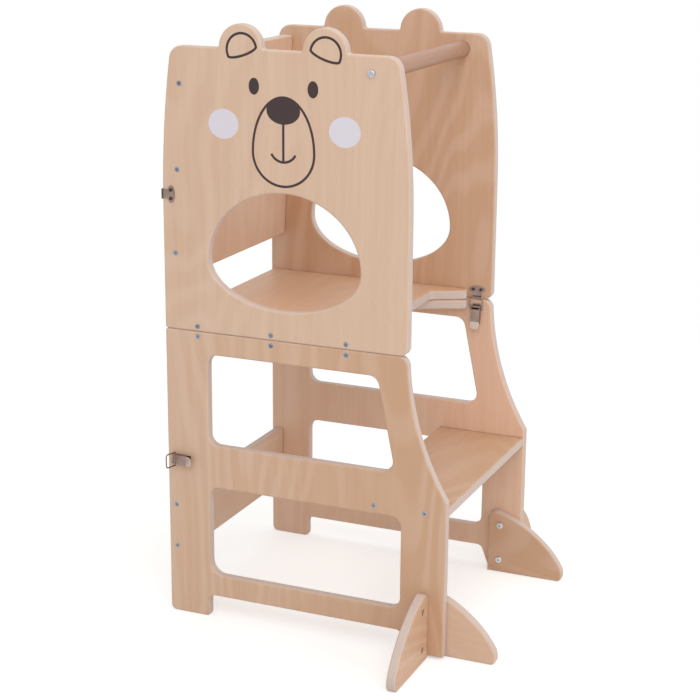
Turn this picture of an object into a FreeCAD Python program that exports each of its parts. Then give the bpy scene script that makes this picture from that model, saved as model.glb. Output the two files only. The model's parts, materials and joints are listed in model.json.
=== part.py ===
import FreeCAD, Part
import math
import os

from FreeCAD import Vector

# A toddler's kitchen helper: an upper box that stands on a lower box, both of birch plywood.
# The upper box folds backwards about a hinge line at the back of the seam and comes down on
# its two ears behind the lower box, so that the two floors make one long table.
# Millimetres. X runs across, -Y is the side that a child climbs in from, +Z is up. The origin
# is on the floor, below the middle of the bounding box.

# ---------------------------------------------------------------- driving dimensions: boards
ply = 15.0                      # thickness of every plywood board
inner_width = 346.0             # clear width between the side panels
box_height = 450.0              # height of the lower box, and of the hinge line
ear_floor_gap = 2.0             # under the ears when the stool is a table
seam_gap = 0.3                  # gap between the two boxes where one stands on the other
edge_round = 3.0                # rounding of the side panels' and the boards' edges

# ---------------------------------------------------------------- upper side panels
# Places along the panels are depths from the plane of their back edges, towards the front.
upper_depth = 384.5             # back edge to front edge at the seam
upper_back_taper = 17.0         # how far the back end leans in between the seam and the top
upper_front_taper = 20.0        # the same for the front end
taper_start_height = 190.0      # height above the seam where the ends start to lean in
ear_radius = 33.5
ear_rise = 34.0                 # ears above the straight top edge
ear_root_round = 4.0
ear_depths = (127.0, 255.5)
shoulder_radius = 20.0          # top corners of the panels
front_seam_radius = 13.0        # front corners of the upper box at the seam
back_seam_radius = 4.0          # back corners of both boxes at the seam
oval_depth = 192.0              # centre of the oval opening
oval_height = 110.0             # height of its widest line above the seam
oval_half_width = 119.0
oval_rise = 105.0
oval_fall = 66.0

# ---------------------------------------------------------------- lower side panels
leg_depth = 446.5               # back edge to the front of the front legs
leg_top_height = 242.0          # where the front legs meet the hollow sweep up to the seam
leg_top_radius = 7.0
sweep_drop = 17.0               # the sweep starts this far below the seam
sweep_lean = 3.6                # degrees from upright where it starts
lower_front_radius = 15.0       # front corner at the seam
back_heel_radius = 9.0
front_toe_radius = 4.0
back_toe_radius = 6.0           # front corner of the back foot
stile_width = 69.5              # upright at the back of the lower panels
foot_width = 66.5               # back foot
foot_height = 35.0              # clear height under the bottom rail
foot_round = 10.0
front_foot_width = 56.0
front_foot_slope = 12.0         # how far the front foot's back edge leans
front_foot_clearance = 3.5      # the front legs end above the floor, on which their fins stand
bottom_rail_height = 34.5
middle_rail_bottom = 210.0
middle_rail_height = 66.5
upper_opening_drop = 33.7       # seam to the top of the upper opening
upper_opening_front = 338.0     # depth of that opening along its top
upper_opening_slope = 29.0      # how much deeper it is along its bottom
lower_opening_front = 377.5
opening_round = 16.0
opening_heel_round = 22.0       # low corner of the lower opening, at the back

# ---------------------------------------------------------------- boards between the panels
back_board_height = 323.0
back_board_bottom = 76.0        # above the seam
back_board_depth = 25.0         # its middle, from the back edge of the panels
back_board_tilt = 2.6           # degrees, top leaning to the front
back_board_corner = 6.0
horn_depth = 346.5              # front of the floor and of the top board at the panels
horn_width = 14.0               # blunt front end of these horns
horn_round = 9.0                # its corner against the panel
horn_slope_round = 6.0          # its other corner, where the slope starts
floor_hollow_depth = 297.0      # the floor's front edge between its horns
floor_hollow_half = 133.0       # half the width of that hollow
floor_hollow_round = 12.0
top_hollow_depth = 265.0        # the top board is hollowed deeper
top_hollow_half = 117.5
top_hollow_round = 45.0
step_back_depth = 302.0
step_front_inset = 2.0          # the step stops this far behind the front of the legs
step_top_height = 230.0
back_rail_inset = 5.5
back_rail_bottom = 93.0
back_rail_height = 96.0
top_rail_radius = 12.5
top_rail_depth = 325.0
top_rail_drop = 58.0            # its middle below the tops of the ears

# ---------------------------------------------------------------- stabilising fins
fin_length = 125.5
fin_height = 103.0
fin_reach = 74.5                # the forward fins pass the front of the legs by this much
fin_crown = 16.5                # distance from a fin's upright edge to its highest point
fin_shoulder = 12.0             # height of its rounded corner above the upright edge
fin_back = (45.5, 11.5)         # where the slope starts: distance out, and drop from the top
fin_brow = (24.0, 51.5)         # where the slope steepens: distance from the tip, and height
fin_tip = (3.5, 24.5)           # where the slope turns down into the tip, likewise
fin_toe_height = 8.0
fin_toe_length = 7.0
fin_bolt_heights = (22.0, 81.0)
fin_bolt_setback = 31.0         # from the front of the legs, also the middle of the outward fins

# ---------------------------------------------------------------- fasteners
fastener_clearance = 0.05       # radial, every screw, bolt and pin in its hole
screw_head_radius = 4.0
screw_head_height = 2.4
screw_shank_radius = 2.0
screw_length = 45.0
screw_socket = 3.0              # across flats
screw_socket_depth = 1.8
back_screw_margin = 38.5        # back board screws from the top and bottom of the board
floor_screw_depths = (54.0, 172.5, 290.5)
step_screw_margins = (34.0, 30.5)  # from the step's back edge and from its front edge
rail_screw_inset = 14.5         # back rail screws from the rail's long edges
bolt_radius = 3.0
bolt_head_radius = 5.5
bolt_head_height = 3.2
bolt_socket = 4.0
bolt_socket_depth = 2.0
barrel_radius = 5.0
barrel_setback = 22.0           # barrel nuts from the panel's face
barrel_end_gap = 0.5            # each end of a barrel nut lies this far inside the fin
barrel_slot = 1.2
rail_bolt_length = 55.0

# ---------------------------------------------------------------- hinges
hinge_axis_offset = 1.0         # hinge line behind the panels' back edges
hinge_knuckle_radius = 4.0
hinge_pin_radius = 2.0
hinge_leaf_thickness = 2.0
hinge_board_gap = 0.4           # knuckles to the back edges of the boards
hinge_width = 60.0
hinge_knuckles = 5
hinge_knuckle_gap = 0.3
hinge_leaf_height = 12.0        # leaf's far edge from the hinge line
hinge_spacing = 210.0           # between the middles of the two hinges
hinge_screw_spread = 36.0
small_head_radius = 2.5
small_head_height = 1.3
small_shank_radius = 1.4
small_screw_length = 11.0
small_slot_width = 0.8
small_slot_depth = 0.7

# ---------------------------------------------------------------- latches
# A latch is drawn along its own pull line: s is the distance past the seam, n the height over
# the panel's face and w the place across.
latch_half_width = 7.4          # lever and base plate
latch_plate = 1.2               # sheet thickness of base and lever
latch_side_gap = 0.2            # between the base's ears and the lever's sides
latch_pivot_s = -12.0
latch_pivot_n = 4.6
latch_pivot_radius = 1.25
latch_roller_radius = 2.3       # sleeve on the pin, between the base's ears
latch_ear_radius = 2.6
latch_base_front = -7.0
latch_base_back = -40.0
latch_base_screws = (-22.0, -33.0)
lever_running_clearance = 0.06
lever_boss_radius = 2.8
lever_roof = 3.0                # underside of the lever's top over its pivot
lever_roof_start = 3.5          # behind the pivot
lever_waist = 19.0              # behind the pivot, where the sides start to narrow
lever_bend = 23.0               # behind the pivot, where the tail turns outwards
lever_tail = 12.0               # length of the tail
lever_tail_rise = 4.0
lever_tail_round = 6.0
bail_crank = 3.8                # lever pivot to bail pivot
bail_crank_angle = 185.0        # degrees, just past dead centre
bail_wire_radius = 1.0
bail_gap = 2.0                  # bail legs to the lever's sides
bail_length = 19.5
bail_bend_radius = 3.5
bail_eye_bend_radius = 1.3
table_bail_swing = 75.0         # degrees, the table latches' bails stand away from the panels
keeper_plate_thickness = 1.5
keeper_half_width = 12.6        # the plate is an ellipse
keeper_half_height = 5.8
keeper_plate_middle = 15.5      # past the seam
keeper_screw_spread = 12.4
keeper_neck_half_width = 5.0    # where the neck leaves the plate
keeper_lip_half_width = 7.5
keeper_lip_start = 1.0
keeper_lip_thickness = 1.2
keeper_lip_gap = 0.2            # under the bail's wire
tower_latch_depth = 360.5       # on the inner faces, across the seam
table_latch_drop = 201.0        # below the seam, on the outer faces by the back edges

# ---------------------------------------------------------------- derived places
half_inner = inner_width / 2
half_outer = half_inner + ply
seam = box_height
lower_top = seam - seam_gap / 2
upper_bottom = seam + seam_gap / 2
ear_top = seam + box_height - ear_floor_gap
upper_top = ear_top - ear_rise
fin_bolt_depth = leg_depth - fin_bolt_setback
fin_tip_depth = leg_depth + fin_reach
step_front_depth = leg_depth - step_front_inset
hinge_overhang = hinge_axis_offset + hinge_knuckle_radius
overall_depth = hinge_overhang + fin_tip_depth
back_y = overall_depth / 2 - hinge_overhang
hinge_y = back_y + hinge_axis_offset
board_back_depth = hinge_knuckle_radius - hinge_axis_offset + hinge_board_gap
table_latch_height = seam - table_latch_drop
bail_pivot_s = latch_pivot_s + bail_crank * math.cos(math.radians(bail_crank_angle))
bail_pivot_n = latch_pivot_n + bail_crank * math.sin(math.radians(bail_crank_angle))
bail_leg_w = latch_half_width + bail_gap + bail_wire_radius
ear_out = latch_half_width - latch_plate - latch_side_gap

X_AXIS = Vector(1, 0, 0)
Y_AXIS = Vector(0, 1, 0)
Z_AXIS = Vector(0, 0, 1)


# ---------------------------------------------------------------- drawing helpers
def at_depth(depth):
    """Y of a place that lies the given depth in front of the panels' back edges."""
    return back_y - depth


def side_point(depth, height):
    """Point on the middle plane for a depth and a height."""
    return Vector(0, at_depth(depth), height)


def line(start, end):
    """Straight edge between two points."""
    return Part.LineSegment(start, end).toShape()


def tangent_arcs(points, direction):
    """Arcs through the points that run smoothly into each other, from a starting direction."""
    edges = []
    for start, end in zip(points, points[1:]):
        chord = end - start
        along = Vector(chord).normalize()
        side = (direction - along * direction.dot(along)).normalize()
        bulge = chord.Length / 2 * math.tan(along.getAngle(direction) / 2)
        edges.append(Part.Arc(start, start + chord * 0.5 + side * bulge, end).toShape())
        direction = along * (2 * direction.dot(along)) - direction
    return edges


def plate(edges, direction):
    """Solid from closed edges, pushed along direction."""
    return Part.Face(Part.Wire(Part.__sortEdges__(edges))).extrude(direction)


def polygon_plate(points, direction):
    """Solid from a closed polygon, pushed along direction."""
    return Part.Face(Part.makePolygon(points + [points[0]])).extrude(direction)


def round_corners(shape, along, corners):
    """Round the edges that run along a direction, at (point, radius) corners."""
    for point, radius in corners:
        best = min(
            (edge for edge in shape.Edges if is_parallel(edge, along)),
            key=lambda edge: distance_to_line(edge, point, along),
        )
        shape = shape.makeFillet(radius, [best])
    return shape


def is_parallel(edge, along):
    """True for a straight edge that runs along the direction."""
    if edge.Curve.TypeId != "Part::GeomLine":
        return False
    return abs(abs(edge.tangentAt(edge.FirstParameter).dot(along)) - 1) < 1e-6


def distance_to_line(edge, point, along):
    """Distance of an edge's start from the line through point along the direction."""
    offset = edge.Vertexes[0].Point - point
    return (offset - along * offset.dot(along)).Length


def soften(shape, normal, radius):
    """Round every edge of the flat faces that look along normal, either way."""
    edges = []
    for face in shape.Faces:
        flat = face.Surface.TypeId == "Part::GeomPlane"
        if flat and abs(abs(face.normalAt(0, 0).dot(normal)) - 1) < 1e-6:
            edges.extend(face.Edges)
    return shape.makeFillet(radius, edges)


def fused(shapes):
    """One solid from touching shapes."""
    return shapes[0].fuse(shapes[1:]).removeSplitter()


def grouped(shapes):
    """Separate solids kept together as one node."""
    return Part.makeCompound(shapes)


def hexagon(centre, into, across_flats, depth):
    """Hexagonal prism that starts at centre and runs along a row axis."""
    side = X_AXIS if abs(into.x) < 0.5 else Y_AXIS
    up = into.cross(side)
    radius = across_flats / math.sqrt(3)
    angles = [math.radians(60 * step) for step in range(6)]
    points = [centre + side * (radius * math.cos(a)) + up * (radius * math.sin(a)) for a in angles]
    return polygon_plate(points, into * depth)


# ---------------------------------------------------------------- fasteners
def countersunk_screw(head, into):
    """Wood screw whose flat head face lies at head and that is driven along into."""
    cone = Part.makeCone(screw_head_radius, screw_shank_radius, screw_head_height, head, into)
    shank = Part.makeCylinder(screw_shank_radius, screw_length, head, into)
    return cone.fuse(shank).cut(hexagon(head, into, screw_socket, screw_socket_depth))


def countersunk_hole(head, into):
    """Space that a countersunk screw needs."""
    room = fastener_clearance
    cone = Part.makeCone(
        screw_head_radius + room, screw_shank_radius + room, screw_head_height, head, into
    )
    return cone.fuse(Part.makeCylinder(screw_shank_radius + room, screw_length + room, head, into))


def machine_bolt(seat, into, length):
    """Button-headed bolt whose head rests on seat and whose shank runs along into."""
    head = Part.makeCylinder(bolt_head_radius, bolt_head_height, seat - into * bolt_head_height, into)
    rim = [edge for edge in head.Edges if edge.BoundBox.Center.distanceToPoint(seat) > bolt_head_height / 2]
    head = head.makeFillet(bolt_head_height / 2, [e for e in rim if e.Curve.TypeId == "Part::GeomCircle"])
    shank = Part.makeCylinder(bolt_radius, length, seat, into)
    socket = hexagon(seat - into * bolt_head_height, into, bolt_socket, bolt_socket_depth)
    return head.fuse(shank).cut(socket)


def machine_hole(seat, into, length):
    """Space that a bolt's shank needs."""
    return Part.makeCylinder(bolt_radius + fastener_clearance, length, seat, into)


def small_screw(seat, into):
    """Round-headed screw whose head rests on seat."""
    top = seat - into * small_head_height
    head = Part.makeCylinder(small_head_radius, small_head_height, top, into)
    shank = Part.makeCylinder(small_shank_radius, small_screw_length, seat, into)
    side = Z_AXIS if abs(into.z) < 0.5 else X_AXIS
    across = into.cross(side)
    corner = top - side * small_head_radius - across * (small_slot_width / 2)
    slot = polygon_plate(
        [
            corner,
            corner + side * (2 * small_head_radius),
            corner + side * (2 * small_head_radius) + across * small_slot_width,
            corner + across * small_slot_width,
        ],
        into * small_slot_depth,
    )
    return head.fuse(shank).cut(slot)


def small_hole(seat, into):
    """Space that a small screw's shank needs."""
    radius = small_shank_radius + fastener_clearance
    return Part.makeCylinder(radius, small_screw_length + fastener_clearance, seat, into)


def both_sides(points):
    """Outer-face point and inward direction, on the left and right panel, for (depth, height)."""
    places = []
    for sign in (-1, 1):
        into = X_AXIS * -sign
        places.extend((Vector(sign * half_outer, at_depth(d), z), into) for d, z in points)
    return places


# ---------------------------------------------------------------- where the fasteners sit
back_board_middle = upper_bottom + back_board_bottom + back_board_height / 2
tilt = math.radians(back_board_tilt)
back_board_screw_points = []
for along in (-1, 0, 1):
    reach = along * (back_board_height / 2 - back_screw_margin)
    back_board_screw_points.append(
        (back_board_depth + reach * math.sin(tilt), back_board_middle + reach * math.cos(tilt))
    )
floor_board_screw_points = [(d, upper_bottom + ply / 2) for d in floor_screw_depths]
top_board_screw_points = [(d, lower_top - ply / 2) for d in floor_screw_depths]
step_screw_depths = (step_back_depth + step_screw_margins[0], step_front_depth - step_screw_margins[1])
step_screw_points = [(d, step_top_height - ply / 2) for d in step_screw_depths]
rail_middle_depth = back_rail_inset + ply / 2
back_rail_screw_points = [
    (rail_middle_depth, back_rail_bottom + rail_screw_inset),
    (rail_middle_depth, back_rail_bottom + back_rail_height - rail_screw_inset),
]
upper_screw_points = back_board_screw_points + floor_board_screw_points
lower_screw_points = top_board_screw_points + step_screw_points + back_rail_screw_points
top_rail_bolt_places = both_sides([(top_rail_depth, ear_top - top_rail_drop)])


def screws(points):
    """Countersunk screws from both side panels."""
    return grouped([countersunk_screw(head, into) for head, into in both_sides(points)])


def drilled(shape, points):
    """Shape with the holes of the countersunk screws."""
    return shape.cut([countersunk_hole(head, into) for head, into in both_sides(points)])


# ---------------------------------------------------------------- upper box
def upper_outline():
    """Closed edges of an upper side panel, ears included, with sharp corners elsewhere."""
    taper_z = seam + taper_start_height
    back = [side_point(0, upper_bottom), side_point(0, taper_z), side_point(upper_back_taper, upper_top)]
    front = [
        side_point(upper_depth, upper_bottom),
        side_point(upper_depth, taper_z),
        side_point(upper_depth - upper_front_taper, upper_top),
    ]
    edges = [
        line(back[0], back[1]),
        tangent_arcs(back[1:], Vector(Z_AXIS))[0],
        line(front[0], front[1]),
        tangent_arcs(front[1:], Vector(Z_AXIS))[0],
        line(front[0], back[0]),
    ]
    last = back[2]
    ear_middle = ear_rise - ear_radius
    gap = ear_root_round - ear_middle
    root = math.sqrt((ear_radius + ear_root_round) ** 2 - gap ** 2)
    touch = ear_radius / (ear_radius + ear_root_round)
    quarter = math.atan2(root, gap) / 2
    for depth in ear_depths:
        ends = []
        for side in (-1, 1):
            foot = side_point(depth + side * root, upper_top)
            flank = side_point(depth + side * root * touch, upper_top + ear_middle + gap * touch)
            middle = side_point(
                depth + side * (root - ear_root_round * math.sin(quarter)),
                upper_top + ear_root_round * (1 - math.cos(quarter)),
            )
            edges.append(Part.Arc(foot, middle, flank).toShape())
            ends.append((foot, flank))
        crown = side_point(depth, ear_top)
        edges.append(Part.Arc(ends[0][1], crown, ends[1][1]).toShape())
        edges.append(line(last, ends[0][0]))
        last = ends[1][0]
    edges.append(line(last, front[2]))
    return edges


def oval_cutter():
    """Prism of the oval opening: two half ellipses that share their widest line."""
    centre = side_point(oval_depth, seam + oval_height)
    left = side_point(oval_depth - oval_half_width, seam + oval_height)
    right = side_point(oval_depth + oval_half_width, seam + oval_height)
    halves = []
    for height in (oval_rise, -oval_fall):
        tip = side_point(oval_depth, seam + oval_height + height)
        halves.append(half_ellipse(centre, left, right, tip))
    return plate(halves, X_AXIS * ply)


def half_ellipse(centre, left, right, tip):
    """Edge from left to right over tip, half of an ellipse about centre."""
    ellipse = Part.Ellipse(left, tip, centre)
    if (tip - centre).Length > (left - centre).Length:
        ellipse = Part.Ellipse(tip, left, centre)
    start, end = ellipse.parameter(left), ellipse.parameter(right)
    arc = Part.ArcOfEllipse(ellipse, start, end)
    middle = arc.value((arc.FirstParameter + arc.LastParameter) / 2)
    if middle.distanceToPoint(tip) > 1:
        arc = Part.ArcOfEllipse(ellipse, end, start)
    return arc.toShape()


def to_side(shape, sign):
    """Panel drawn from the middle plane to its place at the left or right."""
    start = half_inner if sign > 0 else -half_outer
    return shape.translated(X_AXIS * start)


def upper_side(sign):
    """Side panel of the upper box with two ears and an oval opening."""
    panel = plate(upper_outline(), X_AXIS * ply)
    panel = round_corners(
        panel,
        X_AXIS,
        [
            (side_point(upper_back_taper, upper_top), shoulder_radius),
            (side_point(upper_depth - upper_front_taper, upper_top), shoulder_radius),
            (side_point(upper_depth, upper_bottom), front_seam_radius),
            (side_point(0, upper_bottom), back_seam_radius),
        ],
    )
    panel = soften(panel.cut(oval_cutter()), X_AXIS, edge_round)
    panel = drilled(to_side(panel, sign), upper_screw_points)
    cutters = [machine_hole(seat, into, ply) for seat, into in top_rail_bolt_places]
    cutters += [small_hole(seat, into) for seat, into in keeper_screw_places()]
    return panel.cut(cutters)


def back_board():
    """Leaning board that closes the back of the upper box above the platform."""
    low = back_board_middle - back_board_height / 2
    board = Part.makeBox(
        inner_width, ply, back_board_height,
        Vector(-half_inner, at_depth(back_board_depth) - ply / 2, low),
    )
    corners = []
    for x in (-half_inner, half_inner):
        for z in (low, low + back_board_height):
            corners.append((Vector(x, at_depth(back_board_depth), z), back_board_corner))
    board = soften(round_corners(board, Y_AXIS, corners), Y_AXIS, edge_round)
    board.rotate(side_point(back_board_depth, back_board_middle), X_AXIS, back_board_tilt)
    return drilled(board, back_board_screw_points)


def hollow_front_board(bottom, hollow, screw_points, hinge_seats):
    """Floor of one box: its front edge is hollow, (half width, depth, radius), between two horns."""
    half_width, depth, radius = hollow
    horn = at_depth(horn_depth)
    right = [
        (half_inner, horn, horn_round),
        (half_inner - horn_width, horn, horn_slope_round),
        (half_width, at_depth(depth), radius),
    ]
    left = [(-x, y, round_radius) for x, y, round_radius in reversed(right)]
    back = [(-half_inner, at_depth(board_back_depth)), (half_inner, at_depth(board_back_depth))]
    outline = back + [(x, y) for x, y, _ in right + left]
    board = polygon_plate([Vector(x, y, bottom) for x, y in outline], Z_AXIS * ply)
    corners = [(Vector(x, y, bottom), round_radius) for x, y, round_radius in right + left]
    board = soften(round_corners(board, Z_AXIS, corners), Z_AXIS, edge_round)
    return drilled(board, screw_points).cut([small_hole(seat, -Y_AXIS) for seat in hinge_seats])


def top_rail():
    """Round rail across the front of the upper box."""
    centre = Vector(-half_inner, at_depth(top_rail_depth), ear_top - top_rail_drop)
    rail = Part.makeCylinder(top_rail_radius, inner_width, centre, X_AXIS)
    return rail.cut([machine_hole(seat, into, rail_bolt_length) for seat, into in top_rail_bolt_places])


# ---------------------------------------------------------------- lower box
def lower_outline():
    """Closed edges of a lower side panel with sharp corners."""
    front_foot_back = leg_depth - front_foot_width
    points = [
        side_point(upper_depth, lower_top - sweep_drop),
        side_point(upper_depth, lower_top),
        side_point(0, lower_top),
        side_point(0, 0),
        side_point(foot_width, 0),
        side_point(foot_width, foot_height),
        side_point(front_foot_back - front_foot_slope, foot_height),
        side_point(front_foot_back, front_foot_clearance),
        side_point(leg_depth, front_foot_clearance),
        side_point(leg_depth, leg_top_height),
    ]
    edges = [line(a, b) for a, b in zip(points, points[1:])]
    lean = math.radians(sweep_lean)
    downwards = Vector(0, -math.sin(lean), -math.cos(lean))
    edges += tangent_arcs([points[0], points[-1]], downwards)
    return edges, points


def opening_cutter(corners):
    """Prism of an opening with round corners, from (depth, height, radius) corners."""
    rounded = [(side_point(d, z), radius) for d, z, radius in corners]
    prism = polygon_plate([point for point, _ in rounded], X_AXIS * ply)
    return round_corners(prism, X_AXIS, rounded)


def lower_side(sign):
    """Side panel of the lower box: two openings, a back foot and a wide front leg."""
    edges, points = lower_outline()
    panel = round_corners(
        plate(edges, X_AXIS * ply),
        X_AXIS,
        [
            (points[1], lower_front_radius),
            (points[2], back_seam_radius),
            (points[3], back_heel_radius),
            (points[4], back_toe_radius),
            (points[5], foot_round),
            (points[6], foot_round),
            (points[7], front_toe_radius),
            (points[8], front_toe_radius),
            (points[9], leg_top_radius),
        ],
    )
    rail_top = foot_height + bottom_rail_height
    shelf_top = middle_rail_bottom + middle_rail_height
    opening_top = seam - upper_opening_drop
    upper_opening = [
        (stile_width, shelf_top, opening_round),
        (stile_width, opening_top, opening_round),
        (upper_opening_front, opening_top, opening_round),
        (upper_opening_front + upper_opening_slope, shelf_top, opening_round),
    ]
    lower_opening = [
        (stile_width, rail_top, opening_heel_round),
        (stile_width, middle_rail_bottom, opening_round),
        (lower_opening_front, middle_rail_bottom, opening_round),
        (lower_opening_front, rail_top, opening_round),
    ]
    panel = panel.cut([opening_cutter(upper_opening), opening_cutter(lower_opening)])
    panel = soften(panel, X_AXIS, edge_round)
    panel = drilled(to_side(panel, sign), lower_screw_points)
    cutters = [machine_hole(seat, into, fin_bolt_length) for seat, into in fin_bolt_places]
    cutters += [small_hole(seat, into) for seat, into in base_screw_places()]
    return panel.cut(cutters)


def step_board():
    """Step for climbing in, and the seat when the stool is a table."""
    board = Part.makeBox(
        inner_width, step_front_depth - step_back_depth, ply,
        Vector(-half_inner, at_depth(step_front_depth), step_top_height - ply),
    )
    return drilled(soften_long_edges(board), step_screw_points)


def back_rail():
    """Upright board low down across the back."""
    board = Part.makeBox(
        inner_width, ply, back_rail_height,
        Vector(-half_inner, at_depth(back_rail_inset + ply), back_rail_bottom),
    )
    return drilled(soften_long_edges(board), back_rail_screw_points)


def soften_long_edges(board):
    """Board with its four long edges rounded, and its ends flat against the panels."""
    return board.makeFillet(edge_round, [edge for edge in board.Edges if is_parallel(edge, X_AXIS)])


# ---------------------------------------------------------------- fins
def fin(upright, outward, thickness):
    """Fin with its upright edge at a floor point, growing along outward, then made thick."""
    def spot(reach, height):
        return upright + outward * reach + Z_AXIS * height

    shoulder = spot(0, fin_height - fin_shoulder)
    toe = spot(fin_length - fin_toe_length, 0)
    curve = [
        shoulder,
        spot(fin_crown, fin_height),
        spot(fin_back[0], fin_height - fin_back[1]),
        spot(fin_length - fin_brow[0], fin_brow[1]),
        spot(fin_length - fin_tip[0], fin_tip[1]),
        spot(fin_length, fin_toe_height),
        toe,
    ]
    edges = tangent_arcs(curve, Z_AXIS) + [line(toe, upright), line(upright, shoulder)]
    return soften(plate(edges, thickness), Vector(thickness).normalize(), edge_round)


fin_bolt_seat = half_inner - ply
fin_bolt_length = 2 * ply + barrel_setback + barrel_radius
fin_bolt_places = []
for side in (-1, 1):
    for height in fin_bolt_heights:
        seat = Vector(side * fin_bolt_seat, at_depth(fin_bolt_depth), height)
        fin_bolt_places.append((seat, X_AXIS * side))


def barrel_places():
    """Middle of each barrel nut."""
    return [seat + into * (2 * ply + barrel_setback) for seat, into in fin_bolt_places]


def barrel_nut(centre):
    """Cross dowel: a slotted cylinder with a cross hole that the bolt's end fills."""
    length = ply - 2 * barrel_end_gap
    start = centre - Y_AXIS * (length / 2)
    nut = Part.makeCylinder(barrel_radius, length, start, Y_AXIS)
    slot = Part.makeBox(
        barrel_slot, barrel_slot, 2 * barrel_radius,
        start - X_AXIS * (barrel_slot / 2) - Z_AXIS * barrel_radius,
    )
    cross = Part.makeCylinder(
        bolt_radius + fastener_clearance, 2 * barrel_radius, centre - X_AXIS * barrel_radius, X_AXIS
    )
    return nut.cut([slot, cross])


def barrel_hole(centre):
    """Blind hole from the front face of an outward fin for its barrel nut."""
    start = centre - Y_AXIS * (ply / 2)
    radius = barrel_radius + fastener_clearance
    return Part.makeCylinder(radius, ply - barrel_end_gap, start, Y_AXIS)


def forward_fin(sign):
    """Fin on the inner face of a front leg that reaches forwards."""
    inner_face = half_inner - ply if sign > 0 else -half_inner
    upright = Vector(inner_face, at_depth(fin_tip_depth - fin_length), 0)
    shape = fin(upright, -Y_AXIS, X_AXIS * ply)
    return shape.cut([machine_hole(seat, into, fin_bolt_length) for seat, into in fin_bolt_places])


def outward_fin(sign):
    """Fin on the outer face of a front leg that reaches sideways."""
    upright = Vector(sign * half_outer, at_depth(fin_bolt_depth + ply / 2), 0)
    shape = fin(upright, X_AXIS * sign, Y_AXIS * ply)
    cutters = [machine_hole(seat, into, fin_bolt_length) for seat, into in fin_bolt_places]
    cutters += [barrel_hole(centre) for centre in barrel_places()]
    return shape.cut(cutters)


# ---------------------------------------------------------------- hinges
def knuckle_spans(middle_x, is_upper):
    """Start and length along X of the knuckles of one leaf."""
    pitch = hinge_width / hinge_knuckles
    start = middle_x - hinge_width / 2
    spans = []
    for index in range(hinge_knuckles):
        if (index % 2 == 1) == is_upper:
            spans.append((start + index * pitch + hinge_knuckle_gap / 2, pitch - hinge_knuckle_gap))
    return spans


def hinge_leaf(middle_x, is_upper):
    """Leaf with its knuckles, on the back edge of one floor board."""
    away = 1 if is_upper else -1
    face = at_depth(board_back_depth)
    near = hinge_knuckle_radius + hinge_board_gap
    low, high = sorted((away * near, away * hinge_leaf_height))
    leaf = Part.makeBox(
        hinge_width, hinge_leaf_thickness, high - low, Vector(middle_x - hinge_width / 2, face, seam + low)
    )
    pieces = [leaf]
    for start, length in knuckle_spans(middle_x, is_upper):
        low, high = sorted((0, away * near))
        pieces.append(Part.makeBox(length, hinge_leaf_thickness, high - low, Vector(start, face, seam + low)))
        pieces.append(
            Part.makeCylinder(hinge_knuckle_radius, length, Vector(start, hinge_y, seam), X_AXIS)
        )
    bore = Part.makeCylinder(
        hinge_pin_radius + fastener_clearance, hinge_width,
        Vector(middle_x - hinge_width / 2, hinge_y, seam), X_AXIS,
    )
    holes = [small_hole(seat, -Y_AXIS) for seat in hinge_screw_seats(middle_x, is_upper)]
    return fused(pieces).cut([bore] + holes)


def hinge_screw_seats(middle_x, is_upper):
    """Points on the outer face of a leaf where its screws sit."""
    away = 1 if is_upper else -1
    height = seam + away * (hinge_knuckle_radius + hinge_board_gap + hinge_leaf_height) / 2
    y = at_depth(board_back_depth) + hinge_leaf_thickness
    return [Vector(middle_x + side * hinge_screw_spread / 2, y, height) for side in (-1, 1)]


def all_hinge_seats(is_upper):
    """Screw seats of both hinges on one box."""
    seats = []
    for middle_x in hinge_middles:
        seats += hinge_screw_seats(middle_x, is_upper)
    return seats


def hinge_pin(middle_x):
    """Pin through the knuckles of one hinge."""
    start = Vector(middle_x - hinge_width / 2, hinge_y, seam)
    return Part.makeCylinder(hinge_pin_radius, hinge_width, start, X_AXIS)


hinge_middles = (-hinge_spacing / 2, hinge_spacing / 2)


# ---------------------------------------------------------------- latches
def latch_point(s, w, n):
    """Point in the latch's own frame."""
    return Vector(s, w, n)


def latch_box(s_range, w_range, n_range):
    """Box in the latch's own frame, from pairs of limits."""
    low = latch_point(min(s_range), min(w_range), min(n_range))
    spans = [abs(r[1] - r[0]) for r in (s_range, w_range, n_range)]
    return Part.makeBox(*spans, low)


def across_cylinder(s, n, radius, w_low, w_high):
    """Cylinder along the width of the latch."""
    return Part.makeCylinder(radius, w_high - w_low, latch_point(s, w_low, n), Y_AXIS)


def latch_base():
    """Base plate with two ears that hold the lever's pivot."""
    pieces = [
        latch_box((latch_base_back, latch_base_front), (-ear_out, ear_out), (0, latch_plate))
    ]
    ear_span = (latch_pivot_s - latch_ear_radius, latch_pivot_s + latch_ear_radius)
    for side in (-1, 1):
        w_low, w_high = sorted((side * ear_out, side * (ear_out - latch_plate)))
        pieces.append(latch_box(ear_span, (w_low, w_high), (0, latch_pivot_n)))
        pieces.append(across_cylinder(latch_pivot_s, latch_pivot_n, latch_ear_radius, w_low, w_high))
    bore = across_cylinder(
        latch_pivot_s, latch_pivot_n, latch_pivot_radius + fastener_clearance,
        -latch_half_width, latch_half_width,
    )
    holes = [
        Part.makeCylinder(small_shank_radius + fastener_clearance, latch_plate, latch_point(s, 0, 0), Z_AXIS)
        for s in latch_base_screws
    ]
    return fused(pieces).cut([bore] + holes)


def latch_pin():
    """Pivot pin of the lever, with a thicker sleeve between the base's ears."""
    pin = across_cylinder(
        latch_pivot_s, latch_pivot_n, latch_pivot_radius, -latch_half_width, latch_half_width
    )
    sleeve_half = ear_out - latch_plate - latch_side_gap
    sleeve = across_cylinder(
        latch_pivot_s, latch_pivot_n, latch_roller_radius, -sleeve_half, sleeve_half
    )
    return fused([pin, sleeve])


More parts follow.
